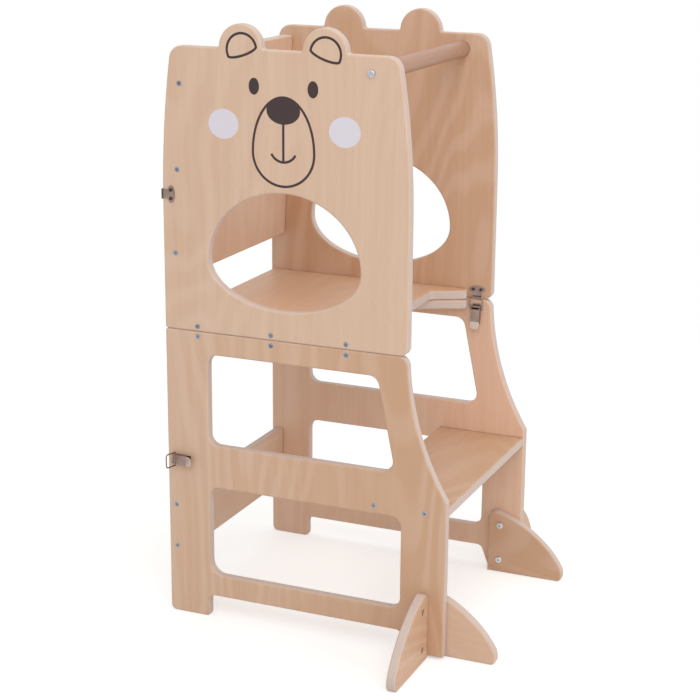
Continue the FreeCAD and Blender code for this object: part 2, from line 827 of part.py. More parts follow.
def latch_lever():
    """Channel-shaped lever whose tail turns outwards."""
    roof_low = latch_pivot_n + lever_roof
    roof_high = roof_low + latch_plate
    start = latch_pivot_s - lever_roof_start
    bend = latch_pivot_s - lever_bend
    tail = bend - lever_tail
    profile = [
        latch_point(start, -latch_half_width, roof_low),
        latch_point(start, -latch_half_width, roof_high),
        latch_point(bend, -latch_half_width, roof_high),
        latch_point(tail, -latch_half_width, roof_high + lever_tail_rise),
        latch_point(tail, -latch_half_width, roof_low + lever_tail_rise),
        latch_point(bend, -latch_half_width, roof_low),
    ]
    roof = polygon_plate(profile, Y_AXIS * (2 * latch_half_width))
    tips = [(latch_point(tail, side * latch_half_width, 0), lever_tail_round) for side in (-1, 1)]
    plan = latch_box(
        (tail, start), (-latch_half_width, latch_half_width), (roof_low, roof_high + lever_tail_rise)
    )
    roof = roof.common(round_corners(plan, Z_AXIS, tips))

    waist = latch_pivot_s - lever_waist
    side_low = latch_pivot_n - lever_boss_radius
    pieces = [roof]
    for side in (-1, 1):
        w_low, w_high = sorted((side * latch_half_width, side * (latch_half_width - latch_plate)))
        outline = [
            latch_point(latch_pivot_s, w_low, side_low),
            latch_point(waist, w_low, side_low),
            latch_point(bend, w_low, roof_low - latch_plate),
            latch_point(bend, w_low, roof_high),
            latch_point(start, w_low, roof_high),
            latch_point(latch_pivot_s, w_low, latch_pivot_n),
        ]
        pieces.append(polygon_plate(outline, Y_AXIS * (w_high - w_low)))
        pieces.append(across_cylinder(latch_pivot_s, latch_pivot_n, lever_boss_radius, w_low, w_high))
    bores = [
        across_cylinder(s, n, radius + lever_running_clearance, -latch_half_width, latch_half_width)
        for s, n, radius in (
            (latch_pivot_s, latch_pivot_n, latch_pivot_radius),
            (bail_pivot_s, bail_pivot_n, bail_wire_radius),
        )
    ]
    return fused(pieces).cut(bores)


def latch_bail():
    """Bent wire: two legs, the cross wire that pulls on the keeper and two short pivot ends."""
    inner_end = latch_half_width - latch_plate
    hook_s = bail_pivot_s + bail_length
    corners = [
        latch_point(bail_pivot_s, -inner_end, bail_pivot_n),
        latch_point(bail_pivot_s, -bail_leg_w, bail_pivot_n),
        latch_point(hook_s, -bail_leg_w, bail_pivot_n),
        latch_point(hook_s, bail_leg_w, bail_pivot_n),
        latch_point(bail_pivot_s, bail_leg_w, bail_pivot_n),
        latch_point(bail_pivot_s, inner_end, bail_pivot_n),
    ]
    bends = [bail_eye_bend_radius, bail_bend_radius, bail_bend_radius, bail_eye_bend_radius]
    path = bent_path(corners, bends)
    start = corners[0]
    profile = Part.Wire(Part.makeCircle(bail_wire_radius, start, corners[1] - start))
    return path.makePipeShell([profile], True, False)


def bent_path(corners, bends):
    """Wire of straight runs joined by tangent arcs at its inner corners."""
    edges = []
    last = corners[0]
    for before, corner, after, radius in zip(corners, corners[1:], corners[2:], bends):
        back = (before - corner).normalize()
        ahead = (after - corner).normalize()
        reach = radius / math.tan(back.getAngle(ahead) / 2)
        bisector = (back + ahead).normalize()
        centre = corner + bisector * math.hypot(reach, radius)
        first, final = corner + back * reach, corner + ahead * reach
        edges.append(line(last, first))
        edges.append(Part.Arc(first, centre - bisector * radius, final).toShape())
        last = final
    edges.append(line(last, corners[-1]))
    return Part.Wire(edges)


def latch_keeper():
    """Elliptical plate with a neck whose lip stands behind the bail's wire."""
    lip_top = bail_pivot_n - bail_wire_radius - keeper_lip_gap
    middle = latch_point(keeper_plate_middle, 0, 0)
    outline = Part.Ellipse(
        middle + latch_point(0, keeper_half_width, 0),
        middle + latch_point(keeper_half_height, 0, 0),
        middle,
    )
    base = plate([outline.toShape()], Z_AXIS * keeper_plate_thickness)
    neck = polygon_plate(
        [
            latch_point(keeper_lip_start, -keeper_lip_half_width, 0),
            latch_point(keeper_plate_middle, -keeper_neck_half_width, 0),
            latch_point(keeper_plate_middle, keeper_neck_half_width, 0),
            latch_point(keeper_lip_start, keeper_lip_half_width, 0),
        ],
        Z_AXIS * keeper_plate_thickness,
    )
    lip = latch_box(
        (keeper_lip_start, keeper_lip_start + keeper_lip_thickness),
        (-keeper_lip_half_width, keeper_lip_half_width),
        (0, lip_top),
    )
    holes = [
        Part.makeCylinder(
            small_shank_radius + fastener_clearance, keeper_plate_thickness, latch_point(s, w, 0), Z_AXIS
        )
        for s, w in keeper_screw_spots()
    ]
    return fused([base, neck, lip]).cut(holes)


def keeper_screw_spots():
    """Places (s, w) of the two keeper screws in the latch's own frame."""
    return [(keeper_plate_middle, side * keeper_screw_spread / 2) for side in (-1, 1)]


def latch_frame(origin, pull, normal):
    """Placement that carries the latch's own frame to a panel."""
    across = normal.cross(pull)
    matrix = FreeCAD.Matrix(
        pull.x, across.x, normal.x, origin.x,
        pull.y, across.y, normal.y, origin.y,
        pull.z, across.z, normal.z, origin.z,
        0, 0, 0, 1,
    )
    return FreeCAD.Placement(matrix)


def tower_frame(sign):
    """Latch that holds the boxes together while one stands on the other."""
    origin = Vector(sign * half_inner, at_depth(tower_latch_depth), seam)
    return latch_frame(origin, Z_AXIS, X_AXIS * -sign)


def table_frame(sign):
    """Latch that holds the folded boxes together as a table."""
    origin = Vector(sign * half_outer, hinge_y, table_latch_height)
    return latch_frame(origin, Y_AXIS, X_AXIS * sign)


def placed(shape, placement):
    """Copy of a shape moved from the latch's own frame."""
    moved = shape.copy()
    moved.Placement = placement.multiply(moved.Placement)
    return moved


def folded_back(shape):
    """Copy of a shape turned half a turn about the hinge line, from table to tower."""
    turned = shape.copy()
    turned.rotate(Vector(0, hinge_y, seam), X_AXIS, 180)
    return turned


def screw_seat_places(frames, spots, height):
    """Seats and directions of small screws at (s, w) spots, in placed latch frames."""
    places = []
    for placement in frames:
        into = placement.Rotation.multVec(-Z_AXIS)
        places.extend((placement.multVec(latch_point(s, w, height)), into) for s, w in spots)
    return places


def base_screw_places():
    """Seats of the screws that hold the four latch bases."""
    spots = [(s, 0) for s in latch_base_screws]
    frames = [make(sign) for make in (tower_frame, table_frame) for sign in (-1, 1)]
    return screw_seat_places(frames, spots, latch_plate)


def tower_keeper_places():
    """Seats of the screws of the tower latches' keepers."""
    frames = [tower_frame(sign) for sign in (-1, 1)]
    return screw_seat_places(frames, keeper_screw_spots(), keeper_plate_thickness)


def table_keeper_places():
    """Seats of the screws of the table latches' keepers, with the stool as a tower."""
    fold = FreeCAD.Placement(Vector(), FreeCAD.Rotation(X_AXIS, 180), Vector(0, hinge_y, seam))
    frames = [fold.multiply(table_frame(sign)) for sign in (-1, 1)]
    return screw_seat_places(frames, keeper_screw_spots(), keeper_plate_thickness)


def keeper_screw_places():
    """Seats of all the keeper screws."""
    return tower_keeper_places() + table_keeper_places()


def swung_bail():
    """Bail of a table latch, standing away from the panel."""
    bail = latch_bail()
    bail.rotate(latch_point(bail_pivot_s, 0, bail_pivot_n), -Y_AXIS, table_bail_swing)
    return bail


# ---------------------------------------------------------------- nodes
def build_nodes():
    """Every piece of the stool by its name."""
    nodes = {
        "upper_back_board": back_board(),
        "upper_floor_board": hollow_front_board(
            upper_bottom,
            (floor_hollow_half, floor_hollow_depth, floor_hollow_round),
            floor_board_screw_points,
            all_hinge_seats(True),
        ),
        "lower_top_board": hollow_front_board(
            lower_top - ply,
            (top_hollow_half, top_hollow_depth, top_hollow_round),
            top_board_screw_points,
            all_hinge_seats(False),
        ),
        "top_rail": top_rail(),
        "step_board": step_board(),
        "lower_back_rail": back_rail(),
        "back_board_screws": screws(back_board_screw_points),
        "floor_board_screws": screws(floor_board_screw_points),
        "top_board_screws": screws(top_board_screw_points),
        "step_board_screws": screws(step_screw_points),
        "back_rail_screws": screws(back_rail_screw_points),
        "top_rail_bolts": grouped(
            [machine_bolt(seat, into, rail_bolt_length) for seat, into in top_rail_bolt_places]
        ),
        "fin_bolts": grouped(
            [machine_bolt(seat, into, fin_bolt_length) for seat, into in fin_bolt_places]
        ),
        "barrel_nuts": grouped([barrel_nut(centre) for centre in barrel_places()]),
        "hinge_upper_screws": grouped([small_screw(p, -Y_AXIS) for p in all_hinge_seats(True)]),
        "hinge_lower_screws": grouped([small_screw(p, -Y_AXIS) for p in all_hinge_seats(False)]),
        "latch_base_screws": grouped([small_screw(p, into) for p, into in base_screw_places()]),
        "tower_keeper_screws": grouped([small_screw(p, into) for p, into in tower_keeper_places()]),
        "table_keeper_screws": grouped([small_screw(p, into) for p, into in table_keeper_places()]),
    }
    for side, sign in (("left", -1), ("right", 1)):
        nodes["upper_side_" + side] = upper_side(sign)
        nodes["lower_side_" + side] = lower_side(sign)
        nodes["forward_fin_" + side] = forward_fin(sign)
        nodes["outward_fin_" + side] = outward_fin(sign)
        middle_x = sign * hinge_spacing / 2
        nodes["hinge_upper_leaf_" + side] = hinge_leaf(middle_x, True)
        nodes["hinge_lower_leaf_" + side] = hinge_leaf(middle_x, False)
        nodes["hinge_pin_" + side] = hinge_pin(middle_x)
        for use, frame in (("tower", tower_frame(sign)), ("table", table_frame(sign))):
            name = use + "_latch_" + side
            bail = latch_bail() if use == "tower" else swung_bail()
            keeper = placed(latch_keeper(), frame)
            nodes[name + "_base"] = placed(latch_base(), frame)
            nodes[name + "_pin"] = placed(latch_pin(), frame)
            nodes[name + "_lever"] = placed(latch_lever(), frame)
            nodes[name + "_bail"] = placed(bail, frame)
            nodes[name + "_keeper"] = keeper if use == "tower" else folded_back(keeper)
    return nodes


def main():
    """Write one STEP file for each node."""
    os.makedirs("parts", exist_ok=True)
    for name, shape in sorted(build_nodes().items()):
        if not shape.isValid():
            raise ValueError(name + " is not a valid shape")
        shape.exportStep(os.path.join("parts", name + ".step"))
        print(name, len(shape.Solids), round(shape.Volume, 1))


main()
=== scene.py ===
"""Looks of a toddler's kitchen helper: two birch plywood boxes, the upper one with a bear's face.

The upper box folds back about two hinges behind the seam. Everything is in metres: X runs
across, -Y is the side that a child climbs in from, and +Z is up.
"""

from __future__ import annotations

import json
import logging
import math
from collections.abc import Callable, Iterable, Mapping, Sequence
from dataclasses import dataclass, replace
from enum import Enum

import bmesh
import bpy
from mathutils import Matrix, Vector

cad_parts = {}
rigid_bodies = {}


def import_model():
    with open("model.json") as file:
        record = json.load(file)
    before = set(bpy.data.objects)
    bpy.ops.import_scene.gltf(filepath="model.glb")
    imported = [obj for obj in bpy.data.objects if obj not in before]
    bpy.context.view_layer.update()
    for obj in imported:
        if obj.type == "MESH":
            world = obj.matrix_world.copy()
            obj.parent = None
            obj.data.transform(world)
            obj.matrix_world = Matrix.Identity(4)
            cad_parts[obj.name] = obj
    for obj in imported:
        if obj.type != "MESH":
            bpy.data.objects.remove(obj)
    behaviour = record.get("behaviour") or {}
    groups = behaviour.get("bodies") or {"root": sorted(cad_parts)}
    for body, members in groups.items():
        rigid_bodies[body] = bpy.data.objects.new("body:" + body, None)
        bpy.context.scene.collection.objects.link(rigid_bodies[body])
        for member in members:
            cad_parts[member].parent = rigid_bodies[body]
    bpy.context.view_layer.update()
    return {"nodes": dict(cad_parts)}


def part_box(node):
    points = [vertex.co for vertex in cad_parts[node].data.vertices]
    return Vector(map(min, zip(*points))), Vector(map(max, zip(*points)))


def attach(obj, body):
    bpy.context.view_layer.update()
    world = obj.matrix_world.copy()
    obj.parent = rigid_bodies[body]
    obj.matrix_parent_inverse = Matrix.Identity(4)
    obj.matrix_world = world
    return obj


LOG = logging.getLogger("kitchen_helper")
MM = 0.001
SIDES = ("left", "right")
ACROSS = Vector((1.0, 0.0, 0.0))
DEEP = Vector((0.0, 1.0, 0.0))
UPRIGHT = Vector((0.0, 0.0, 1.0))
ORIGIN = (0.0, 0.0, 0.0)
SCREEN_WHITE = 255
SRGB_OFFSET = 0.055
SRGB_POWER = 2.4
MIDDLE = 0.5
Span = tuple[float, float]
Triple = tuple[float, float, float]
Colour = tuple[float, float, float, float]


def paint(red: float, green: float, blue: float) -> Colour:
    """Work out a colour for a shader from the values of a screen.

    Args:
        red: Red of 0 to 255.
        green: Green of 0 to 255.
        blue: Blue of 0 to 255.

    Returns:
        The linear colour, opaque.
    """
    shares = (red / SCREEN_WHITE, green / SCREEN_WHITE, blue / SCREEN_WHITE)
    linear = [((share + SRGB_OFFSET) / (1 + SRGB_OFFSET)) ** SRGB_POWER for share in shares]
    return (linear[0], linear[1], linear[2], 1.0)


class Latch(Enum):
    """Draw latch, by the position of the upper box that it holds."""

    TOWER = "tower_latch"
    TABLE = "table_latch"


class Signal:
    """Socket whose value varies over a surface, on which sums are written as in Python."""

    def __init__(self, sheet: NodeSheet, socket: bpy.types.NodeSocket) -> None:
        """Wrap a socket of the sheet's nodes."""
        self.sheet = sheet
        self.socket = socket

    def __add__(self, other: Signal | float) -> Signal:
        """Sum of this and other."""
        return self.sheet.math("ADD", self, other)

    def __radd__(self, other: float) -> Signal:
        """Sum of a number and this."""
        return self.sheet.math("ADD", other, self)

    def __sub__(self, other: Signal | float) -> Signal:
        """This less other."""
        return self.sheet.math("SUBTRACT", self, other)

    def __rsub__(self, other: float) -> Signal:
        """A number less this."""
        return self.sheet.math("SUBTRACT", other, self)

    def __mul__(self, other: Signal | float) -> Signal:
        """Product of this and other."""
        return self.sheet.math("MULTIPLY", self, other)

    def __rmul__(self, other: float) -> Signal:
        """Product of a number and this."""
        return self.sheet.math("MULTIPLY", other, self)

    def __truediv__(self, other: Signal | float) -> Signal:
        """This over other."""
        return self.sheet.math("DIVIDE", self, other)

    def __abs__(self) -> Signal:
        """Size of this without its sign."""
        return self.sheet.math("ABSOLUTE", self)

    @property
    def swing(self) -> Signal:
        """How far a noise of 0 to 1 lies from its middle."""
        return self - MIDDLE


class NodeSheet:
    """The nodes of one material or of the world."""

    def __init__(self, tree: bpy.types.NodeTree) -> None:
        """Start with an empty sheet."""
        self.tree = tree
        tree.nodes.clear()

    def node(
        self,
        kind: str,
        settings: Mapping[str, object] | None = None,
        inputs: Mapping[str | int, object] | None = None,
    ) -> bpy.types.Node:
        """Add a node.

        Args:
            kind: Name of the type of node.
            settings: Values of the node itself, set before its sockets.
            inputs: Values or signals for its input sockets, by name or number.

        Returns:
            The new node.
        """
        made = self.tree.nodes.new(kind)
        for name, value in (settings or {}).items():
            setattr(made, name, value)
        for key, value in (inputs or {}).items():
            if isinstance(value, Signal):
                self.tree.links.new(value.socket, made.inputs[key])
            else:
                made.inputs[key].default_value = value
        return made

    def signal(
        self,
        kind: str,
        settings: Mapping[str, object] | None = None,
        inputs: Mapping[str | int, object] | None = None,
        output: str | int = 0,
    ) -> Signal:
        """Add a node and take one of its outputs.

        Args:
            kind: Name of the type of node.
            settings: Values of the node itself.
            inputs: Values or signals for its input sockets.
            output: Name or number of the output socket.

        Returns:
            The output as a signal.
        """
        return Signal(self, self.node(kind, settings, inputs).outputs[output])

    def math(self, operation: str, *values: Signal | float) -> Signal:
        """Result of one Math operation on one or two values."""
        return self.signal("ShaderNodeMath", {"operation": operation}, dict(enumerate(values)))

    def vector(
        self, operation: str, first: object, second: object = ORIGIN, output: str = "Vector"
    ) -> Signal:
        """Result of one Vector Math operation on one or two vectors."""
        settings = {"operation": operation}
        return self.signal("ShaderNodeVectorMath", settings, {0: first, 1: second}, output)

    def dot(self, first: Signal, second: Vector) -> Signal:
        """How far a place lies along a direction."""
        return self.vector("DOT_PRODUCT", first, second, "Value")

    def place(self) -> Signal:
        """Place in the frame, in metres."""
        return self.signal("ShaderNodeTexCoord", output="Object")

    def combine(self, x: Signal | float, y: Signal | float, z: Signal | float) -> Signal:
        """Vector from three values."""
        return self.signal("ShaderNodeCombineXYZ", inputs={"X": x, "Y": y, "Z": z})

    def noise(self, place: Signal, detail: float = 2.0, roughness: float = 0.5) -> Signal:
        """Add smooth noise.

        Args:
            place: Place in waves.
            detail: Number of finer layers.
            roughness: How much the finer layers count.

        Returns:
            Noise of 0 to 1.
        """
        return self.signal(
            "ShaderNodeTexNoise",
            {"noise_dimensions": "3D"},
            {"Vector": place, "Scale": 1.0, "Detail": detail, "Roughness": roughness},
        )

    def ramp(self, value: Signal, low: float, high: float) -> Signal:
        """Add a soft step.

        Args:
            value: What the step is taken over.
            low: Value at which the step starts, with 0.
            high: Value at which the step ends, with 1. It may lie below low.

        Returns:
            The step.
        """
        return self.signal(
            "ShaderNodeMapRange",
            {"interpolation_type": "SMOOTHSTEP"},
            {"Value": value, "From Min": low, "From Max": high},
        )

    def blend(self, share: Signal, under: Signal | Colour, over: Signal | Colour) -> Signal:
        """Lay one colour over another.

        Args:
            share: How much of the upper colour shows, from 0 to 1.
            under: Lower colour.
            over: Upper colour.

        Returns:
            The blended colour.
        """
        return self.signal(
            "ShaderNodeMix",
            {"data_type": "RGBA", "blend_type": "MIX", "clamp_factor": True},
            {0: share, 6: under, 7: over},
            output=2,
        )

    def bump(self, height: Signal, depth: float, strength: float) -> Signal:
        """Normal that is tilted by a height of 0 to 1 over a depth in metres."""
        inputs = {"Strength": strength, "Distance": depth, "Height": height}
        return self.signal("ShaderNodeBump", inputs=inputs)


def surfaced(name: str, fill: Callable[[NodeSheet], Mapping[str, object]]) -> bpy.types.Material:
    """Make a material with one main shader.

    Args:
        name: Name of the material.
        fill: Draws the nodes and returns the shader's inputs by name.

    Returns:
        The new material.
    """
    material = bpy.data.materials.new(name)
    material.use_nodes = True
    sheet = NodeSheet(material.node_tree)
    shader = sheet.signal("ShaderNodeBsdfPrincipled", inputs=fill(sheet), output="BSDF")
    sheet.node("ShaderNodeOutputMaterial", inputs={"Surface": shader})
    return material


def placed(name: str, data: bpy.types.ID) -> bpy.types.Object:
    """Put a new object into the scene.

    Args:
        name: Name of the object.
        data: Its mesh, light or camera.

    Returns:
        The new object.
    """
    item = bpy.data.objects.new(name, data)
    bpy.context.scene.collection.objects.link(item)
    return item


# ---------------------------------------------------------------- finishes
@dataclass(frozen=True)
class Waves:
    """Noise with its own number of waves per metre along X, Y and Z."""

    scale: Triple
    detail: float = 2.0
    roughness: float = 0.5

    def draw(self, sheet: NodeSheet, place: Signal) -> Signal:
        """Noise of 0 to 1 at a place."""
        return sheet.noise(sheet.vector("MULTIPLY", place, self.scale), self.detail, self.roughness)


@dataclass(frozen=True)
class Streaks:
    """Noise with its own number of waves per metre across and along the grain of a veneer.

    The shift keeps it apart from the other noises of that veneer.
    """

    across: float
    along: float
    shift: float = 0.0
    detail: float = 2.0
    roughness: float = 0.5

    def draw(self, sheet: NodeSheet, beside: Signal, along: Signal, layer: Signal) -> Signal:
        """Noise of 0 to 1 at distances beside and along the grain."""
        place = sheet.combine(beside * self.across, along * self.along, layer + self.shift)
        return sheet.noise(place, self.detail, self.roughness)


@dataclass(frozen=True)
class JointShadow:
    """Painted shadow line where a board ends at a side panel, standing in for shade in the joint.

    Strip is how far short of the panel the line on a board starts, and where it is full. Width
    is how far the groove on the panel reaches past the board's end.
    """

    # Colour of the painted shadow in the joints.
    shade: Colour = paint(78, 50, 36)
    share: float = 0.85
    contact_share: float = 0.8
    width: float = 0.9 * MM
    strip: Span = (2.0 * MM, 1.0 * MM)

    def strip_at(self, sheet: NodeSheet, local: Signal, reach: float) -> Signal:
        """1 past a reach to either side of a piece's middle, and 0 between."""
        start, full = self.strip
        return sheet.ramp(abs(sheet.dot(local, ACROSS)), reach - start, reach - full)

    def contact(self, sheet: NodeSheet, place: Signal, board: str, corner: float) -> Signal:
        """Find where a panel lies against the end of a board, and the groove just round it, which
        get painted shadow.

        Args:
            sheet: The panel's nodes.
            place: Place on the panel.
            board: Name of the board that ends at the panel.
            corner: Radius of the board's front corner, which the panel doesn't touch.

        Returns:
            1 at the contact and 0 elsewhere.
        """
        low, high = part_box(board)
        low = low + DEEP * corner
        out = sheet.vector("ABSOLUTE", sheet.vector("SUBTRACT", place, (low + high) / 2))
        parts = sheet.node("ShaderNodeSeparateXYZ", inputs={0: out})
        half = self.width / 2
        end = (high - low) / 2 + Vector((self.width, -half, -half))
        shares = [
            sheet.ramp(Signal(sheet, parts.outputs[axis]), end[axis], end[axis] - self.width)
            for axis in range(3)
        ]
        return shares[0] * shares[1] * shares[2]


@dataclass(frozen=True)
class Veneer:
    """Rotary-cut birch: warm streaks, paler rings in places, fine fibres and short flecks.

    Warmth is the share of the warm colour, and drift is how much that grows over a metre
    across the grain. The seed gives each board its own figure, and side_shift each face of it.
    """

    seed: float
    warmth: float = 0.5
    drift: float = 0.0
    side_shift: float = 3.7
    pale: Colour = paint(229, 199, 176)
    warm: Colour = paint(207, 166, 134)
    figure: Colour = paint(238, 214, 196)
    fleck: Colour = paint(176, 132, 100)
    wander: Streaks = Streaks(7.0, 2.4)
    wander_reach: float = 0.05
    growth: Streaks = Streaks(5.0, 1.5, 11.0, roughness=0.35)
    ring_turns: float = 120.0
    ring_span: Span = (0.25, 1.0)
    streaks: Streaks = Streaks(110.0, 2.4, 5.0, 3.0, 0.55)
    streak_share: float = 0.55
    shade: Streaks = Streaks(3.2, 1.6, 23.0, 1.0)
    shade_share: float = 0.5
    fibres: Streaks = Streaks(800.0, 16.0, 0.0, 3.0, 0.6)
    fibre_share: float = 0.3
    fibre_height: float = 0.7
    figured: Span = (0.28, 0.58)
    figure_share: float = 0.19
    specks: Streaks = Streaks(520.0, 62.0, 2.0, 1.0)
    speck_span: Span = (0.62, 0.74)
    flecked: Streaks = Streaks(16.0, 6.0, 31.0, 1.0)
    flecked_span: Span = (0.4, 0.62)
    fleck_share: float = 0.14
    fleck_depth: float = 0.25
    level: float = 0.3

    def draw(
        self, sheet: NodeSheet, along: Signal, beside: Signal, depth: Signal
    ) -> tuple[Signal, Signal]:
        """Draw both faces of a board.

        Args:
            sheet: The board's nodes.
            along: Distance along the grain from the board's middle.
            beside: Distance across the grain from the board's middle.
            depth: Distance from the board's middle layer.

        Returns:
            Colour and height of the face.
        """
        layer = sheet.math("SIGN", depth) * self.side_shift + self.seed
        wander = self.wander.draw(sheet, beside, along, layer)
        bent = beside + wander.swing * self.wander_reach
        growth = self.growth.draw(sheet, bent, along, layer)
        rings = sheet.math("SINE", growth * self.ring_turns) * MIDDLE + MIDDLE
        streaks = self.streaks.draw(sheet, bent, along, layer)
        fibres = self.fibres.draw(sheet, beside, along, layer)
        shade = self.shade.draw(sheet, beside, along, layer)
        specks = sheet.ramp(self.specks.draw(sheet, beside, along, layer), *self.speck_span)
        flecked = sheet.ramp(self.flecked.draw(sheet, beside, along, layer), *self.flecked_span)
        flecks = specks * flecked

        warmth = self.warmth + beside * self.drift + streaks.swing * self.streak_share
        warmth = warmth + shade.swing * self.shade_share + fibres.swing * self.fibre_share
        colour = sheet.blend(warmth, self.pale, self.warm)
        figure = sheet.ramp(rings, *self.ring_span) * sheet.ramp(shade, *self.figured)
        colour = sheet.blend(figure * self.figure_share, colour, self.figure)
        colour = sheet.blend(flecks * self.fleck_share, colour, self.fleck)
        return colour, fibres * self.fibre_height - flecks * self.fleck_depth + self.level


@dataclass(frozen=True)
class Plies:
    """Thin layers along a board's edge, whose grain runs one way and across it by turns.

    The plies give way to the veneer over veneer_span, which is counted in plies below a face.
    """

    thickness: float = 15 * MM
    count: int = 11
    veneer_span: Span = (1.0, 0.86)
    long_ply: Colour = paint(219, 201, 192)
    cross_ply: Colour = paint(200, 178, 165)
    glue: Colour = paint(150, 118, 96)
    wobble: Waves = Waves((60.0, 60.0, 60.0), 1.0)
    wobble_reach: float = 0.25 * MM
    crossing_span: Span = (0.42, 0.58)
    seam_span: Span = (0.40, 0.49)
    end_span: Span = (0.5, 0.9)
    pores: Waves = Waves((420.0, 420.0, 420.0), 3.0, 0.6)
    pore_share: float = 0.7
    dark_share: float = 0.65
    seam_share: float = 0.3
    level: float = 0.6
    dark_depth: float = 0.25
    seam_depth: float = 0.2
    pore_depth: float = 0.5

    @property
    def ply(self) -> float:
        """Thickness of one ply."""
        return self.thickness / self.count

    def face(self, sheet: NodeSheet, depth: Signal) -> Signal:
        """1 on the two faces of the board, and 0 along its edges."""
        start, full = (self.thickness / 2 - self.ply * plies for plies in self.veneer_span)
        return sheet.ramp(abs(depth), start, full)

    def draw(
        self, sheet: NodeSheet, local: Signal, depth: Signal, grain: Vector
    ) -> tuple[Signal, Signal]:
        """Draw the plies along the edges of a board.

        Args:
            sheet: The board's nodes.
            local: Place from the middle of the board.
            depth: Distance from the board's middle layer.
            grain: Direction of the grain of the faces.

        Returns:
            Colour and height of the edge.
        """
        wobble = self.wobble.draw(sheet, local).swing * self.wobble_reach
        count = (depth + wobble) / self.ply + self.count / 2
        crossing = sheet.ramp(sheet.math("PINGPONG", count - 0.5, 1.0), *self.crossing_span)
        seam = sheet.ramp(abs(sheet.math("FRACT", count).swing), *self.seam_span)
        facing = sheet.signal("ShaderNodeTexCoord", output="Normal")
        end = sheet.ramp(abs(sheet.dot(facing, grain)), *self.end_span)
        dark = crossing * (1.0 - end) + (1.0 - crossing) * end
        pores = self.pores.draw(sheet, local).swing
        share = dark * self.dark_share + pores * self.pore_share
        colour = sheet.blend(share, self.long_ply, self.cross_ply)
        colour = sheet.blend(seam * self.seam_share, colour, self.glue)
        height = self.level - dark * self.dark_depth - seam * self.seam_depth
        return colour, height + pores * self.pore_depth


@dataclass(frozen=True)
class Plywood:
    """Varnished birch plywood: figured veneer on its two faces and pale plies along its edges.

    Through is the direction across the layers, and grain that of the veneer. A board between
    the side panels has a painted shadow line on its faces at joint_reach to either side of its
    middle. A panel has painted shadow lines round the ends of the boards that it meets, each
    named with the radius of its front corner.
    """

    through: Vector
    grain: Vector
    veneer: Veneer
    joint_reach: float = 0.0
    meets: tuple[tuple[str, float], ...] = ()
    plies: Plies = Plies()
    joint: JointShadow = JointShadow()
    edge_roughness: float = 0.58
    face_polish: float = 0.1
    grain_roughness: float = 0.12
    relief: float = 0.12 * MM
    relief_strength: float = 0.6
    coat: float = 0.12
    coat_roughness: float = 0.42
    refraction: float = 1.45

    def material(self, name: str, centre: Vector) -> bpy.types.Material:
        """Material for one board whose middle is at centre."""
        return surfaced(name, lambda sheet: self._inputs(sheet, centre))

    def _inputs(self, sheet: NodeSheet, centre: Vector) -> dict[str, object]:
        """Draw the whole board: faces, edges and the painted shadow lines at its joints.

        Args:
            sheet: The board's nodes.
            centre: Middle of the board.

        Returns:
            The shader's inputs by name.
        """
        place = sheet.place()
        local = sheet.vector("SUBTRACT", place, centre)
        along = sheet.dot(local, self.grain)
        beside = sheet.dot(local, self.through.cross(self.grain))
        depth = sheet.dot(local, self.through)

        veneer, grain_height = self.veneer.draw(sheet, along, beside, depth)
        plies, ply_height = self.plies.draw(sheet, local, depth, self.grain)
        face = self.plies.face(sheet, depth)
        colour = sheet.blend(face, plies, veneer)
        # Painted shadow across the board's faces where it ends at the panels.
        if self.joint_reach:
            strip = self.joint.strip_at(sheet, local, self.joint_reach)
            colour = sheet.blend(strip * face * self.joint.share, colour, self.joint.shade)
        # Painted shadow on the panel round the ends of the boards that it meets.
        for board, corner in self.meets:
            contact = self.joint.contact(sheet, place, board, corner)
            colour = sheet.blend(contact * self.joint.contact_share, colour, self.joint.shade)
        height = grain_height * face + ply_height * (1.0 - face)
        roughness = self.edge_roughness - self.face_polish * face
        return {
            "Base Color": colour,
            "Roughness": roughness + self.grain_roughness * grain_height.swing,
            "Normal": sheet.bump(height, self.relief, self.relief_strength),
            "Coat Weight": self.coat,
            "Coat Roughness": self.coat_roughness,
            "IOR": self.refraction,
        }


